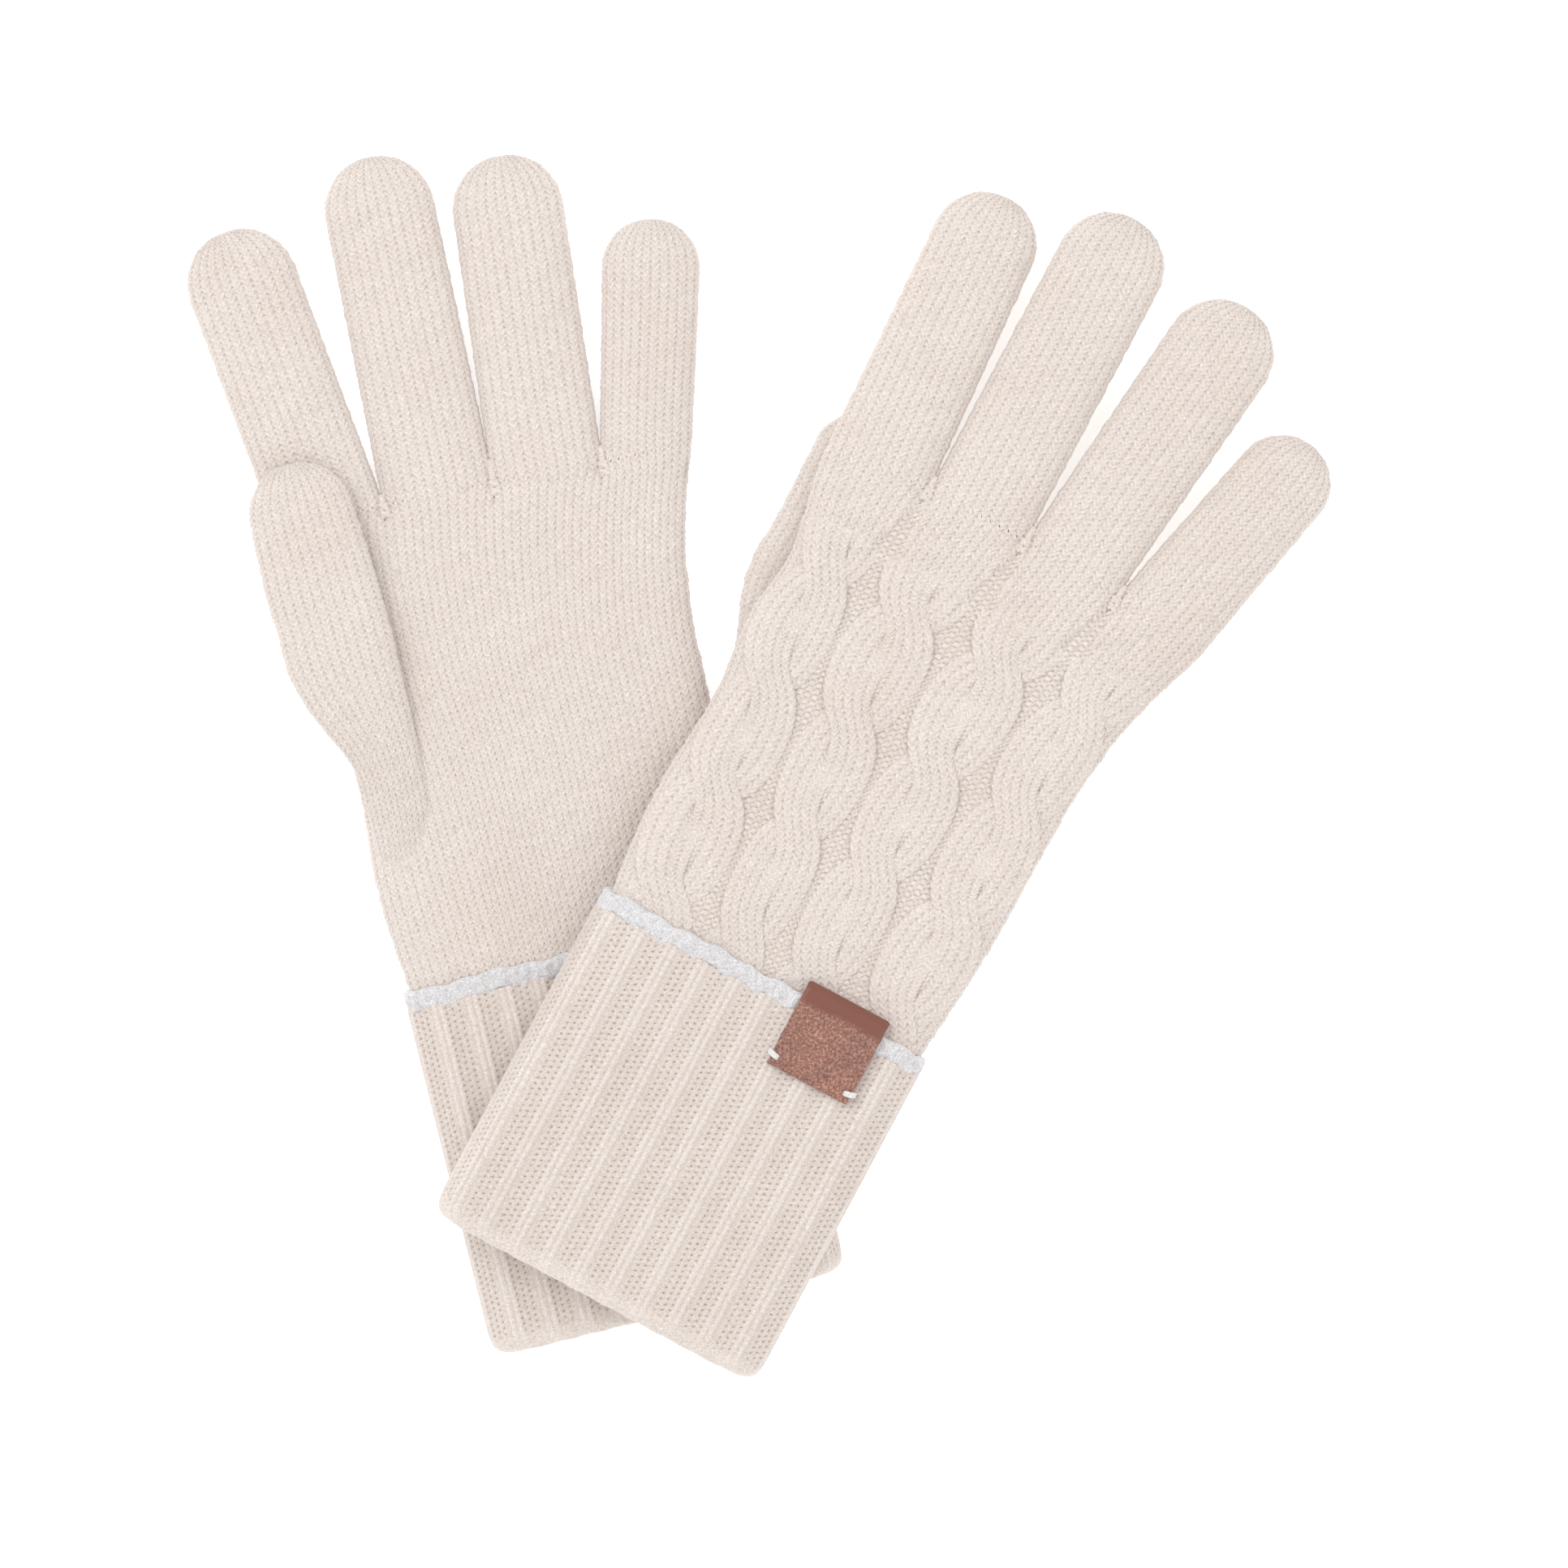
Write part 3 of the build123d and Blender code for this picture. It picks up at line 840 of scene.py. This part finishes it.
def strand_path(lay, place, sense):
    """One strand's middle line and its half width and lift, row by row up the hand."""
    y = np.linspace(CABLE_LOW, CABLE_HIGH, 600)
    edges = boundaries(lay, y)
    centre = cable_centres(edges)[:, place]
    room = np.minimum(np.diff(edges)[:, place], CABLE_WIDEST) / 2 - CABLE_GUTTER
    last = CROSSINGS_Y + 3.5 * CROSSING_PITCH
    turn = pi / 2 + pi * (np.minimum(y, last) - CROSSINGS_Y) / CROSSING_PITCH
    out = np.tanh(CROSSING_SHARPNESS * np.cos(turn) * sense) / np.tanh(CROSSING_SHARPNESS)
    over = np.maximum(np.sin(turn) * sense, 0) ** 1.5 * (y < last)
    wide = np.abs(out) ** 1.5
    half = STRAND_CROSSING_HALF + (room * 0.6 - STRAND_CROSSING_HALF) * wide
    middle = centre + out * room * 0.41
    run = np.concatenate([[0], np.cumsum(np.hypot(np.diff(middle), np.diff(y)))])
    rows = int(run[-1] / COURSE) * COURSE_ROWS + 1
    at = np.linspace(0, run[-1], rows)
    return [np.interp(at, run, line) for line in (middle, y, half, over, out)]


def make_strand(lay, place, sense, part):
    """One strand of a cable: plain knit that crosses over and under the other strand."""
    middle, y, half, over, out = strand_path(lay, place, sense)
    ahead = unit(np.stack([np.gradient(middle), np.gradient(y)], -1))
    xi = np.linspace(-1, 1, STRAND_WALES * WALE_COLUMNS + 1)
    aside = half[:, None] * xi
    x = middle[:, None] + aside * ahead[:, 1:]
    level = y[:, None] - aside * ahead[:, :1]
    base = hand_half(lay, x, level, False)
    inner = (xi[None, :] * out[:, None] < 0) * smooth(np.abs(out) * 2.2 - 0.7)[:, None]
    edge = np.abs(xi) ** 3.0 * (1 - inner)
    press = cable_press(level)
    sink = smooth((level - CABLES_END) / 12.0)
    lift = (0.15 + 0.9 * over[:, None] + 0.75 * (1 - edge)) * press - sink * 2.2
    lift = lift + 0.04 * sense
    top = np.stack([x, level, -(base + lift * lay.relief)], -1)
    knit, relief = knitted(top[:, ::-1], 0.0, SEED + 40 + place, wrap=False)
    under = np.stack([x, level, -(base - STRAND_UNDER - 1.2 * sink)], -1)
    under = under[np.unique(np.append(np.arange(0, len(y), 6), len(y) - 1))][:, ::5]
    # The underside takes the dark tone 0.3: painted shade down the strand's sides, where they run
    # under into the back
    piece = slab(lay, f"{lay.side}_{FINGERS[place]}_cable_strand_{part}", knit, relief,
                 under[:, ::-1], MATERIALS["knit"], plain=0.3, share=0.8, crisp=0)
    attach(piece, lay.side + "_hand")


# ---- cuff

def cuff_section(half_width, half_thick, radius, shares):
    """Points round a flattened ring, from the thumb side over the palm and back."""
    share = spread(161)
    x = half_width * (2 * share - 1)
    z = half_thick * rounded(np.minimum(share, 1 - share) * 2 * half_width, radius)
    line = np.concatenate([np.stack([x, z], -1), np.stack([x[::-1], -z[::-1]], -1)[1:]])
    run = travelled(line)
    return at_each(shares * run[-1], run, line)


def rib_columns():
    """Each column round the cuff: its share of the ring, its rise and whether it is purl."""
    steps = range(RIB_COLUMNS)
    knit = [(KNIT_WALE, column / RIB_COLUMNS, 0) for column in steps] * 2
    purl = [(PURL_WALE, column / RIB_COLUMNS, 1 + wale % 2)
            for wale in range(3) for column in steps]
    width, phase, kind = np.array((knit + purl) * RIB_REPEATS).T
    share = (np.cumsum(width) - width) / width.sum()
    return share, phase, kind, np.tile(RIB_PROFILE, RIB_REPEATS)


def cuff_half_width(y):
    """The cuff narrows round its two bottom corners."""
    below = np.clip(CUFF_CORNER - y, 0, CUFF_CORNER)
    return CUFF_HALF_WIDTH - (CUFF_CORNER - np.sqrt(CUFF_CORNER ** 2 - below ** 2))


def cuff_profile(top):
    """Down the outside, round the fold, up the inside: height, inset and stitch strength."""
    courses = int(round((top - FOLD_HEIGHT) / COURSE))
    heights = np.linspace(top, FOLD_HEIGHT, courses * COURSE_ROWS + 1)
    outside = [(y, 0.0, 0.25 + 0.75 * smooth((y - FOLD_HEIGHT) / 5.0)) for y in heights]
    fold = [(FOLD_HEIGHT * (1 - sin(a)), MOUTH_WALL / 2 * (1 - cos(a)), 0.25)
            for a in np.linspace(0, pi, 14)[1:]]
    inside = [(y, MOUTH_WALL, 0.5) for y in np.linspace(2.6, 14.0, 22)]
    inside += [(y, MOUTH_WALL, 0.3) for y in np.linspace(18.0, SLEEVE_TOP, 16)]
    hidden = [(SLEEVE_TOP, TURN_UP, 0.0), (top, TURN_UP, 0.0)]
    return np.array(outside + fold + inside + hidden)


def rib_stitches(rows, phase, kind):
    """Height and tone of every point of the rib: smooth wales, then staggered purl pits. The tone
    is painted shade, darker down the sides of the wales and in the pits.
    """
    v = (np.arange(rows)[:, None] % COURSE_ROWS) / COURSE_ROWS
    legs = np.interp(phase, np.arange(5) / 4, [0.35, 0.85, 1.0, 0.85, 0.35])
    knit = legs[None] * (0.86 + 0.14 * np.cos(2 * pi * v))
    late = np.where(kind == 2, 0.5, 0.0)[None]
    pits = (phase[None] == 0) * (0.5 + 0.5 * np.cos(2 * pi * (v + late))) ** 2
    purl = 1 - pits
    height = np.where(kind[None] > 0, purl, knit)
    # Painted shade: the knit wales darken down their sides and the purl darkens in its pits
    tone = np.where(kind[None] > 0, 0.6 - 0.6 * pits, 0.3 + 0.7 * knit)
    return height, tone


def make_cuff(lay):
    """The ribbed turn-up, its fold and the sleeve inside it, as one ring."""
    share, phase, kind, rise = rib_columns()
    top = lay.cuff_height - BAND + EDGE_OVERLAP
    profile = cuff_profile(top)
    rows = len(profile)
    ring = np.empty((rows, len(share), 3))
    for row, (y, inset, _) in enumerate(profile):
        half_width = cuff_half_width(y) - inset
        section = cuff_section(half_width, CUFF_HALF - inset, CUFF_ROUND - inset / 2, share)
        ring[row, :, 0], ring[row, :, 1], ring[row, :, 2] = section[:, 0], y, section[:, 1]
    bow = waves(ring[..., 0], ring[..., 1], SEED + 50, 60.0, 0.35)
    ring[..., 2] += bow * np.sign(ring[..., 2]) * 0.4
    outward = normals(np.concatenate([ring, ring[:1]]), True)[:-1]
    height, tone = rib_stitches(rows, phase, kind)
    strength = profile[:, 2][:, None]
    raised = (RIB_RISE * (rise[None] - 0.5) + RIB_STITCH * (height - 0.5)) * strength
    sign = -1.0 if np.einsum("ijk,ijk->", outward[:20, :, ::2], ring[:20, :, ::2]) < 0 else 1.0
    points = ring + outward * (sign * raised)[..., None]
    random = np.random.default_rng(SEED + 51)
    # The painted stitch shade fades out where the stitches are weak, round the fold and inside
    clear = np.clip(strength * 1.4, 0, 1)
    tone = CROWN_TONE + (tone - CROWN_TONE) * clear + random.normal(0, TONE_NOISE, tone.shape)
    piece = ring_piece(lay, lay.side + "_ribbed_cuff", points, tone, MATERIALS["rib"])
    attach(piece, lay.side + "_hand")
    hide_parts(lay.side + "_turned_cuff", lay.side + "_inner_cuff")


def make_edge_band(lay):
    """The linked edge: a soft cool-white band of lumpy stitches, a little scalloped."""
    columns = RIB_REPEATS * BAND_COLUMNS
    share = np.arange(columns) / columns
    around = share * 2 * (2 * CUFF_HALF_WIDTH)
    ribs = np.cos(2 * pi * share * RIB_REPEATS)
    middle_y = lay.cuff_height - BAND / 2
    rows = []
    for angle in np.arange(BAND_ROWS) / BAND_ROWS * 2 * pi:
        level = np.sign(sin(angle)) * abs(sin(angle)) ** 0.6
        deep = np.sign(cos(angle)) * abs(cos(angle)) ** 0.6
        inset = TURN_UP / 2 - 1.25 * deep
        section = cuff_section(CUFF_HALF_WIDTH - inset, CUFF_HALF - inset,
                               CUFF_ROUND - inset / 2, share)
        scallop = 0.3 * ribs + waves(around, level, SEED + 60, 17.0, 0.3)
        y = middle_y + (BAND / 2) * level + scallop * np.abs(level)
        lumps = (waves(around, level * 2.2, SEED + 61, 2.1, 0.3)
                 + waves(around, level * 2.2, SEED + 62, 4.2, 0.25)) * max(deep + 0.3, 0.1)
        out = unit(section)
        rows.append(np.stack([section[:, 0] + out[:, 0] * lumps * 0.4, y,
                              section[:, 1] + np.sign(section[:, 1]) * lumps], -1))
    points = np.array(rows)
    random = np.random.default_rng(SEED + 63)
    tone = 0.65 + random.normal(0, 0.16, points.shape[:2])
    piece = ring_piece(lay, lay.side + "_linked_edge", points, tone, MATERIALS["edge"])
    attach(piece, lay.side + "_hand")
    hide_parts(lay.side + "_cuff_edge")


# ---- yarn, thread and label

def yarn(build, lay, path, radius, tilt=True):
    """A short length of yarn along a smooth arc through three points."""
    t = np.linspace(0, 1, 10)[:, None]
    a, b, c = (np.array(p, float) for p in path)
    line = a * (1 - t) ** 2 + 2 * (2 * b - (a + c) / 2) * t * (1 - t) + c * t ** 2
    ahead = unit(np.gradient(line, axis=0))
    side = unit(np.cross(ahead, np.array([0.0, 0.0, 1.0]) + 1e-3))
    over = np.cross(side, ahead)
    turn = np.arange(YARN_SIDES) / YARN_SIDES * 2 * pi
    thick = radius * np.sqrt(np.clip(1 - (2 * t[:, 0] - 1) ** 6, 0.02, 1))
    ring = line[:, None] + thick[:, None, None] * (
        np.cos(turn)[None, :, None] * side[:, None] + np.sin(turn)[None, :, None] * over[:, None])
    numbers = build.add(lay.world(ring, tilt), 0.8 + 0.15 * np.sin(turn * 2)[None, :])
    tips = build.add(lay.world(line[[0, -1]], tilt), 0.8)
    build.grid(numbers, wrap=True)
    build.fan(numbers[0][::-1], tips[0])
    build.fan(numbers[-1], tips[1])


def fill_web(build, lay, web):
    """Yarn that lies between two fingers, on either side, from their crotch to their gap."""
    reach = lay.side_by_side[web] - lay.roots[web + 1, 1] + WEB_FILL_PAST
    rows = (np.array([0.0, 0.5, 1.0]) * reach / COURSE * COURSE_ROWS).astype(int)
    between = (lay.fingers[web][0][rows, -1] + lay.fingers[web + 1][0][rows, 0]) / 2
    for up in (1, -1):
        path = [(x, y, up * depth) for (x, y, _), depth in zip(between, WEB_FILL_DEPTHS)]
        yarn(build, lay, path, WEB_FILL_RADIUS)


def make_crotch_stitches(lay):
    """Crossed linking stitches at each finger crotch, on the palm and on the back."""
    build = Builder()
    for web in range(3):
        x, y = lay.roots[web + 1]
        for up in (1, -1):
            for level, lean in ((-0.2, 0.9), (-0.2, -0.9), (-2.0, 0.9), (-2.0, -0.9)):
                spots = np.array([x - 1.5 * lean, x + 1.5 * lean])
                levels = np.array([y + level - 0.9, y + level + 0.9])
                first, last = hand_half(lay, spots, levels, up > 0) - 0.15
                middle = (first + last) / 2 + 0.1
                yarn(build, lay, [(spots[0], levels[0], up * first),
                                  (x, y + level, up * middle),
                                  (spots[1], levels[1], up * last)], LINK_RADIUS)
        fill_web(build, lay, web)
    piece = build.make(lay.side + "_linking_stitches", MATERIALS["knit"])
    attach(piece, lay.side + "_hand")
    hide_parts(lay.side + "_crotch_stitches")


def label_profile(lay):
    """The label's middle line, as (y, z) below the cuff's mid-plane, from hem to lap."""
    high = lay.cuff_height + LABEL_ABOVE_EDGE
    low = high - LABEL_SIZE
    out = CUFF_HALF + LABEL_OFF_CUFF + LABEL_THICK / 2
    bend = LABEL_BEND
    face = [(y, out) for y in np.linspace(low, high - bend, 26)]
    arc = [(high - bend + bend * sin(a), out - bend + bend * cos(a))
           for a in np.linspace(0, pi, 12)[1:]]
    lap = [(y, out - 2 * bend) for y in np.linspace(high - bend - 0.6, lay.cuff_height - 2, 6)]
    return np.array(face + arc + lap)


def make_label(lay):
    """A folded square of brown leather over the cuff's edge, with soft cut edges."""
    profile = label_profile(lay)
    ahead = unit(np.gradient(profile, axis=0))
    out = np.stack([-ahead[:, 1], ahead[:, 0]], -1)
    across = np.linspace(-1, 1, 37)
    half = LABEL_SIZE / 2
    near_side = rounded((1 - np.abs(across)) * half, 0.7)
    near_end = rounded(np.linspace(0, 1, len(profile)) * 40, 0.7)
    thick = LABEL_THICK / 2 * (0.35 + 0.65 * near_side[None, :] * near_end[:, None])
    sag = waves(across[None, :] * half, profile[:, :1], SEED + 70, 16.0, 0.14)
    points = []
    for side in (1, -1):
        y = profile[:, 0][:, None] + out[:, 0][:, None] * side * thick
        z = profile[:, 1][:, None] + out[:, 1][:, None] * side * thick + sag
        x = np.broadcast_to(LABEL_X + across * half, y.shape)
        x = x + np.sin(y * 1.3) * 0.08 * across
        notch = np.exp(-((y - (profile[0, 0] + LABEL_NOTCH)) / 0.9) ** 2)
        x = x - notch * 0.9 * np.sign(across) * (np.abs(across) > 0.93)
        points.append(np.stack([x, y, -z], -1))
    ragged = waves(across[None] * half, profile[:, :1], SEED + 71, 12.0, 0.7)
    band_end = lay.cuff_height + LABEL_ABOVE_EDGE - LABEL_BAND
    band = smooth((profile[:, :1] - band_end + ragged) / 1.6)
    piece = slab(lay, "right_leather_tab", points[0], band, points[1], MATERIALS["leather"],
                 share=0.46, tilt=False, crisp=2)
    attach(piece, "right_hand")
    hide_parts("right_leather_label")


def make_label_thread(lay):
    """White thread that comes out of each notch and goes over the label's side edge."""
    low = lay.cuff_height + LABEL_ABOVE_EDGE - LABEL_SIZE
    build = Builder()
    for side in (-1, 1):
        edge = LABEL_X + side * LABEL_SIZE / 2
        top = -(CUFF_HALF + LABEL_THICK + LABEL_OFF_CUFF)
        for shift in (-0.28, 0.28):
            y = low + LABEL_NOTCH + shift
            path = [(edge - side * 2.2, y - 0.3, top + 0.2), (edge - side * 0.4, y, top - 0.5),
                    (edge + side * 1.0, y + 0.5, top + 1.6)]
            yarn(build, lay, path, THREAD_RADIUS, tilt=False)
    piece = build.make("right_tab_thread", MATERIALS["thread"])
    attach(piece, "right_hand")
    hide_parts("right_label_stitches")


# ---- materials

class Shader:
    """A new material and short calls to add and join its nodes."""

    def __init__(self, name, **sockets):
        self.material = bpy.data.materials.new(name)
        self.material.use_nodes = True
        self.tree = self.material.node_tree
        self.shader = self.tree.nodes["Principled BSDF"]
        for socket, value in sockets.items():
            self.shader.inputs[socket.replace("_", " ")].default_value = value

    def node(self, kind, **values):
        made = self.tree.nodes.new(kind)
        for key, value in values.items():
            if hasattr(made, key):
                setattr(made, key, value)
            else:
                made.inputs[key].default_value = value
        return made

    def join(self, out, to):
        self.tree.links.new(out, to)

    def noise(self, scale, detail=2.0, roughness=0.5):
        """Noise read at each point's place at rest, so that it stays put in every pose."""
        place = self.node("ShaderNodeAttribute", attribute_name="at_rest")
        noise = self.node("ShaderNodeTexNoise", Scale=scale, Detail=detail, Roughness=roughness)
        self.join(place.outputs["Vector"], noise.inputs["Vector"])
        return noise.outputs["Fac"]

    def relief(self):
        """The tone of each point; in knitted fabric, 0 is painted shade down in the pits and 1 on
        top.
        """
        return self.node("ShaderNodeAttribute", attribute_name="relief").outputs["Fac"]

    def ramp(self, factor, *stops):
        ramp = self.node("ShaderNodeValToRGB")
        elements = ramp.color_ramp.elements
        while len(elements) < len(stops):
            elements.new(0.5)
        for element, (at, colour) in zip(elements, stops):
            element.position = at
            element.color = (*colour, 1.0)
        self.join(factor, ramp.inputs["Fac"])
        return ramp.outputs["Color"]

    def mix(self, kind, amount, first, second):
        mix = self.node("ShaderNodeMix", data_type="RGBA", blend_type=kind)
        inputs = [s for s in mix.inputs if s.enabled]
        for socket, value in zip(inputs, (amount, first, second)):
            if isinstance(value, bpy.types.NodeSocket):
                self.join(value, socket)
            else:
                socket.default_value = value
        return next(s for s in mix.outputs if s.enabled)

    def bump(self, height, strength, distance):
        bump = self.node("ShaderNodeBump", Strength=strength, Distance=distance)
        self.join(height, bump.inputs["Height"])
        self.join(bump.outputs["Normal"], self.shader.inputs["Normal"])


def yarn_material(name, pit_shade, shade, crown, fleck=0.15, sheen=0.35):
    """Soft yarn: painted shade darker down in the stitches, with fibre flecks and a fine nap."""
    make = Shader(name, Roughness=0.92, Sheen_Weight=sheen, Sheen_Roughness=0.55,
                  Specular_IOR_Level=0.2)
    # Painted shade: the first colour lies down in the stitches, the last on their tops
    colour = make.ramp(make.relief(), (0.0, pit_shade), (0.36, shade), (0.9, crown))
    fibres = make.ramp(make.noise(1.9, 6.0, 0.7), (0.3, (1 - fleck * 2,) * 3),
                       (0.7, (1 + fleck,) * 3))
    colour = make.mix("MULTIPLY", 1.0, colour, fibres)
    patches = make.ramp(make.noise(0.045, 2.0), (0.3, (0.965, 0.95, 0.94)), (0.7, (1.0, 1.0, 1.0)))
    colour = make.mix("MULTIPLY", 1.0, colour, patches)
    make.join(colour, make.shader.inputs["Base Color"])
    make.bump(make.noise(5.5, 4.0, 0.65), 0.5, 0.00018)
    return make.material


def leather_material():
    """Brown leather: smooth at the fold, below it a pebbled grain whose bright spots are painted
    highlights.
    """
    make = Shader("label_leather", Roughness=0.4, Specular_IOR_Level=0.5)
    band = make.relief()
    grain = make.noise(1.5, 4.0, 0.6)
    # The grain's darker colours are the leather's own; its bright top colour is painted highlights
    grain_and_highlights = make.ramp(grain, (0.36, (0.175, 0.07, 0.047)), (0.5, (0.275, 0.12, 0.083)),
                     (0.68, (0.48, 0.275, 0.21)))
    cloud = make.ramp(make.noise(0.2, 2.0), (0.3, (0.84, 0.84, 0.88)), (0.75, (1.1, 1.08, 1.06)))
    grain_and_highlights = make.mix("MULTIPLY", 1.0, grain_and_highlights, cloud)
    colour = make.mix("MIX", band, grain_and_highlights, (0.185, 0.06, 0.04, 1.0))
    make.join(colour, make.shader.inputs["Base Color"])
    pebbles = make.mix("MIX", band, grain, (0.5, 0.5, 0.5, 1.0))
    make.bump(pebbles, 0.8, 0.0004)
    return make.material


def make_materials():
    """Every fabric of the gloves, by its short name."""
    return {
        # The first colour of the knit and of the rib is painted shade, darkest down in the
        # stitches
        "knit": yarn_material("cream_knit", (0.42, 0.355, 0.315), (0.665, 0.58, 0.525),
                              (0.775, 0.705, 0.655)),
        "rib": yarn_material("cream_rib", (0.29, 0.235, 0.2), (0.63, 0.545, 0.49),
                             (0.775, 0.705, 0.655)),
        "edge": yarn_material("linked_edge", (0.5, 0.485, 0.485), (0.64, 0.63, 0.64),
                              (0.76, 0.75, 0.765), fleck=0.2, sheen=0.5),
        "leather": leather_material(),
        "thread": yarn_material("white_thread", (0.6, 0.58, 0.55), (0.72, 0.7, 0.68),
                                (0.82, 0.81, 0.79)),
    }


# ---- stage, light, camera

def make_stage():
    """A pale floor that glows a little, just under the gloves."""
    floor = bpy.data.meshes.new("floor")
    reach = 3.0
    floor.from_pydata([(-reach, -reach, 0), (reach, -reach, 0), (reach, reach, 0),
                       (-reach, reach, 0)], [], [(0, 1, 2, 3)])
    paint = Shader("pale_floor", Base_Color=(0.93, 0.93, 0.93, 1.0), Roughness=0.9,
                   Emission_Color=(1.0, 1.0, 1.0, 1.0), Emission_Strength=0.45)
    floor.materials.append(paint.material)
    obj = in_scene("floor", floor)
    obj.location.z = -0.0004


def area_light(name, place, size, power):
    """A square lamp that looks at the middle of the gloves."""
    data = bpy.data.lights.new(name, "AREA")
    data.size = size
    data.energy = power
    light = in_scene(name, data)
    light.location = place
    light.rotation_euler = Vector(place).to_track_quat("Z", "Y").to_euler()


def make_light():
    world = bpy.data.worlds.new("studio")
    world.use_nodes = True
    background = world.node_tree.nodes["Background"]
    background.inputs["Color"].default_value = (1.0, 1.0, 1.0, 1.0)
    background.inputs["Strength"].default_value = 1.0
    bpy.context.scene.world = world
    area_light("key", (-0.9, 0.9, 1.5), 1.6, 13.0)
    area_light("fill", (1.0, -0.6, 1.6), 1.8, 5.5)
    view = bpy.context.scene.view_settings
    view.view_transform = "Standard"
    view.look = "None"


def make_camera():
    data = bpy.data.cameras.new("camera")
    data.sensor_width = 36.0
    data.lens = data.sensor_width * CAMERA_HEIGHT / VIEW_WIDTH
    data.clip_start = 0.05
    camera = in_scene("camera", data)
    camera.location = (0.006, -0.0055, CAMERA_HEIGHT)
    bpy.context.scene.camera = camera


# ---- everything

def make_glove(lay):
    """One glove, from its hand and fingers to its cuff."""
    lay.hand = hand_ring(lay)
    lay.fingers = [finger_ring(lay, place) for place in range(4)]
    make_hand(lay)
    for place in range(4):
        make_finger(lay, place)
        make_strand(lay, place, 1, "a")
        make_strand(lay, place, -1, "b")
    make_thumb(lay)
    make_cuff(lay)
    make_edge_band(lay)
    make_crotch_stitches(lay)


make_camera()
make_stage()
make_light()
MATERIALS = make_materials()
make_glove(LEFT)
make_glove(RIGHT)
make_label(RIGHT)
make_label_thread(RIGHT)
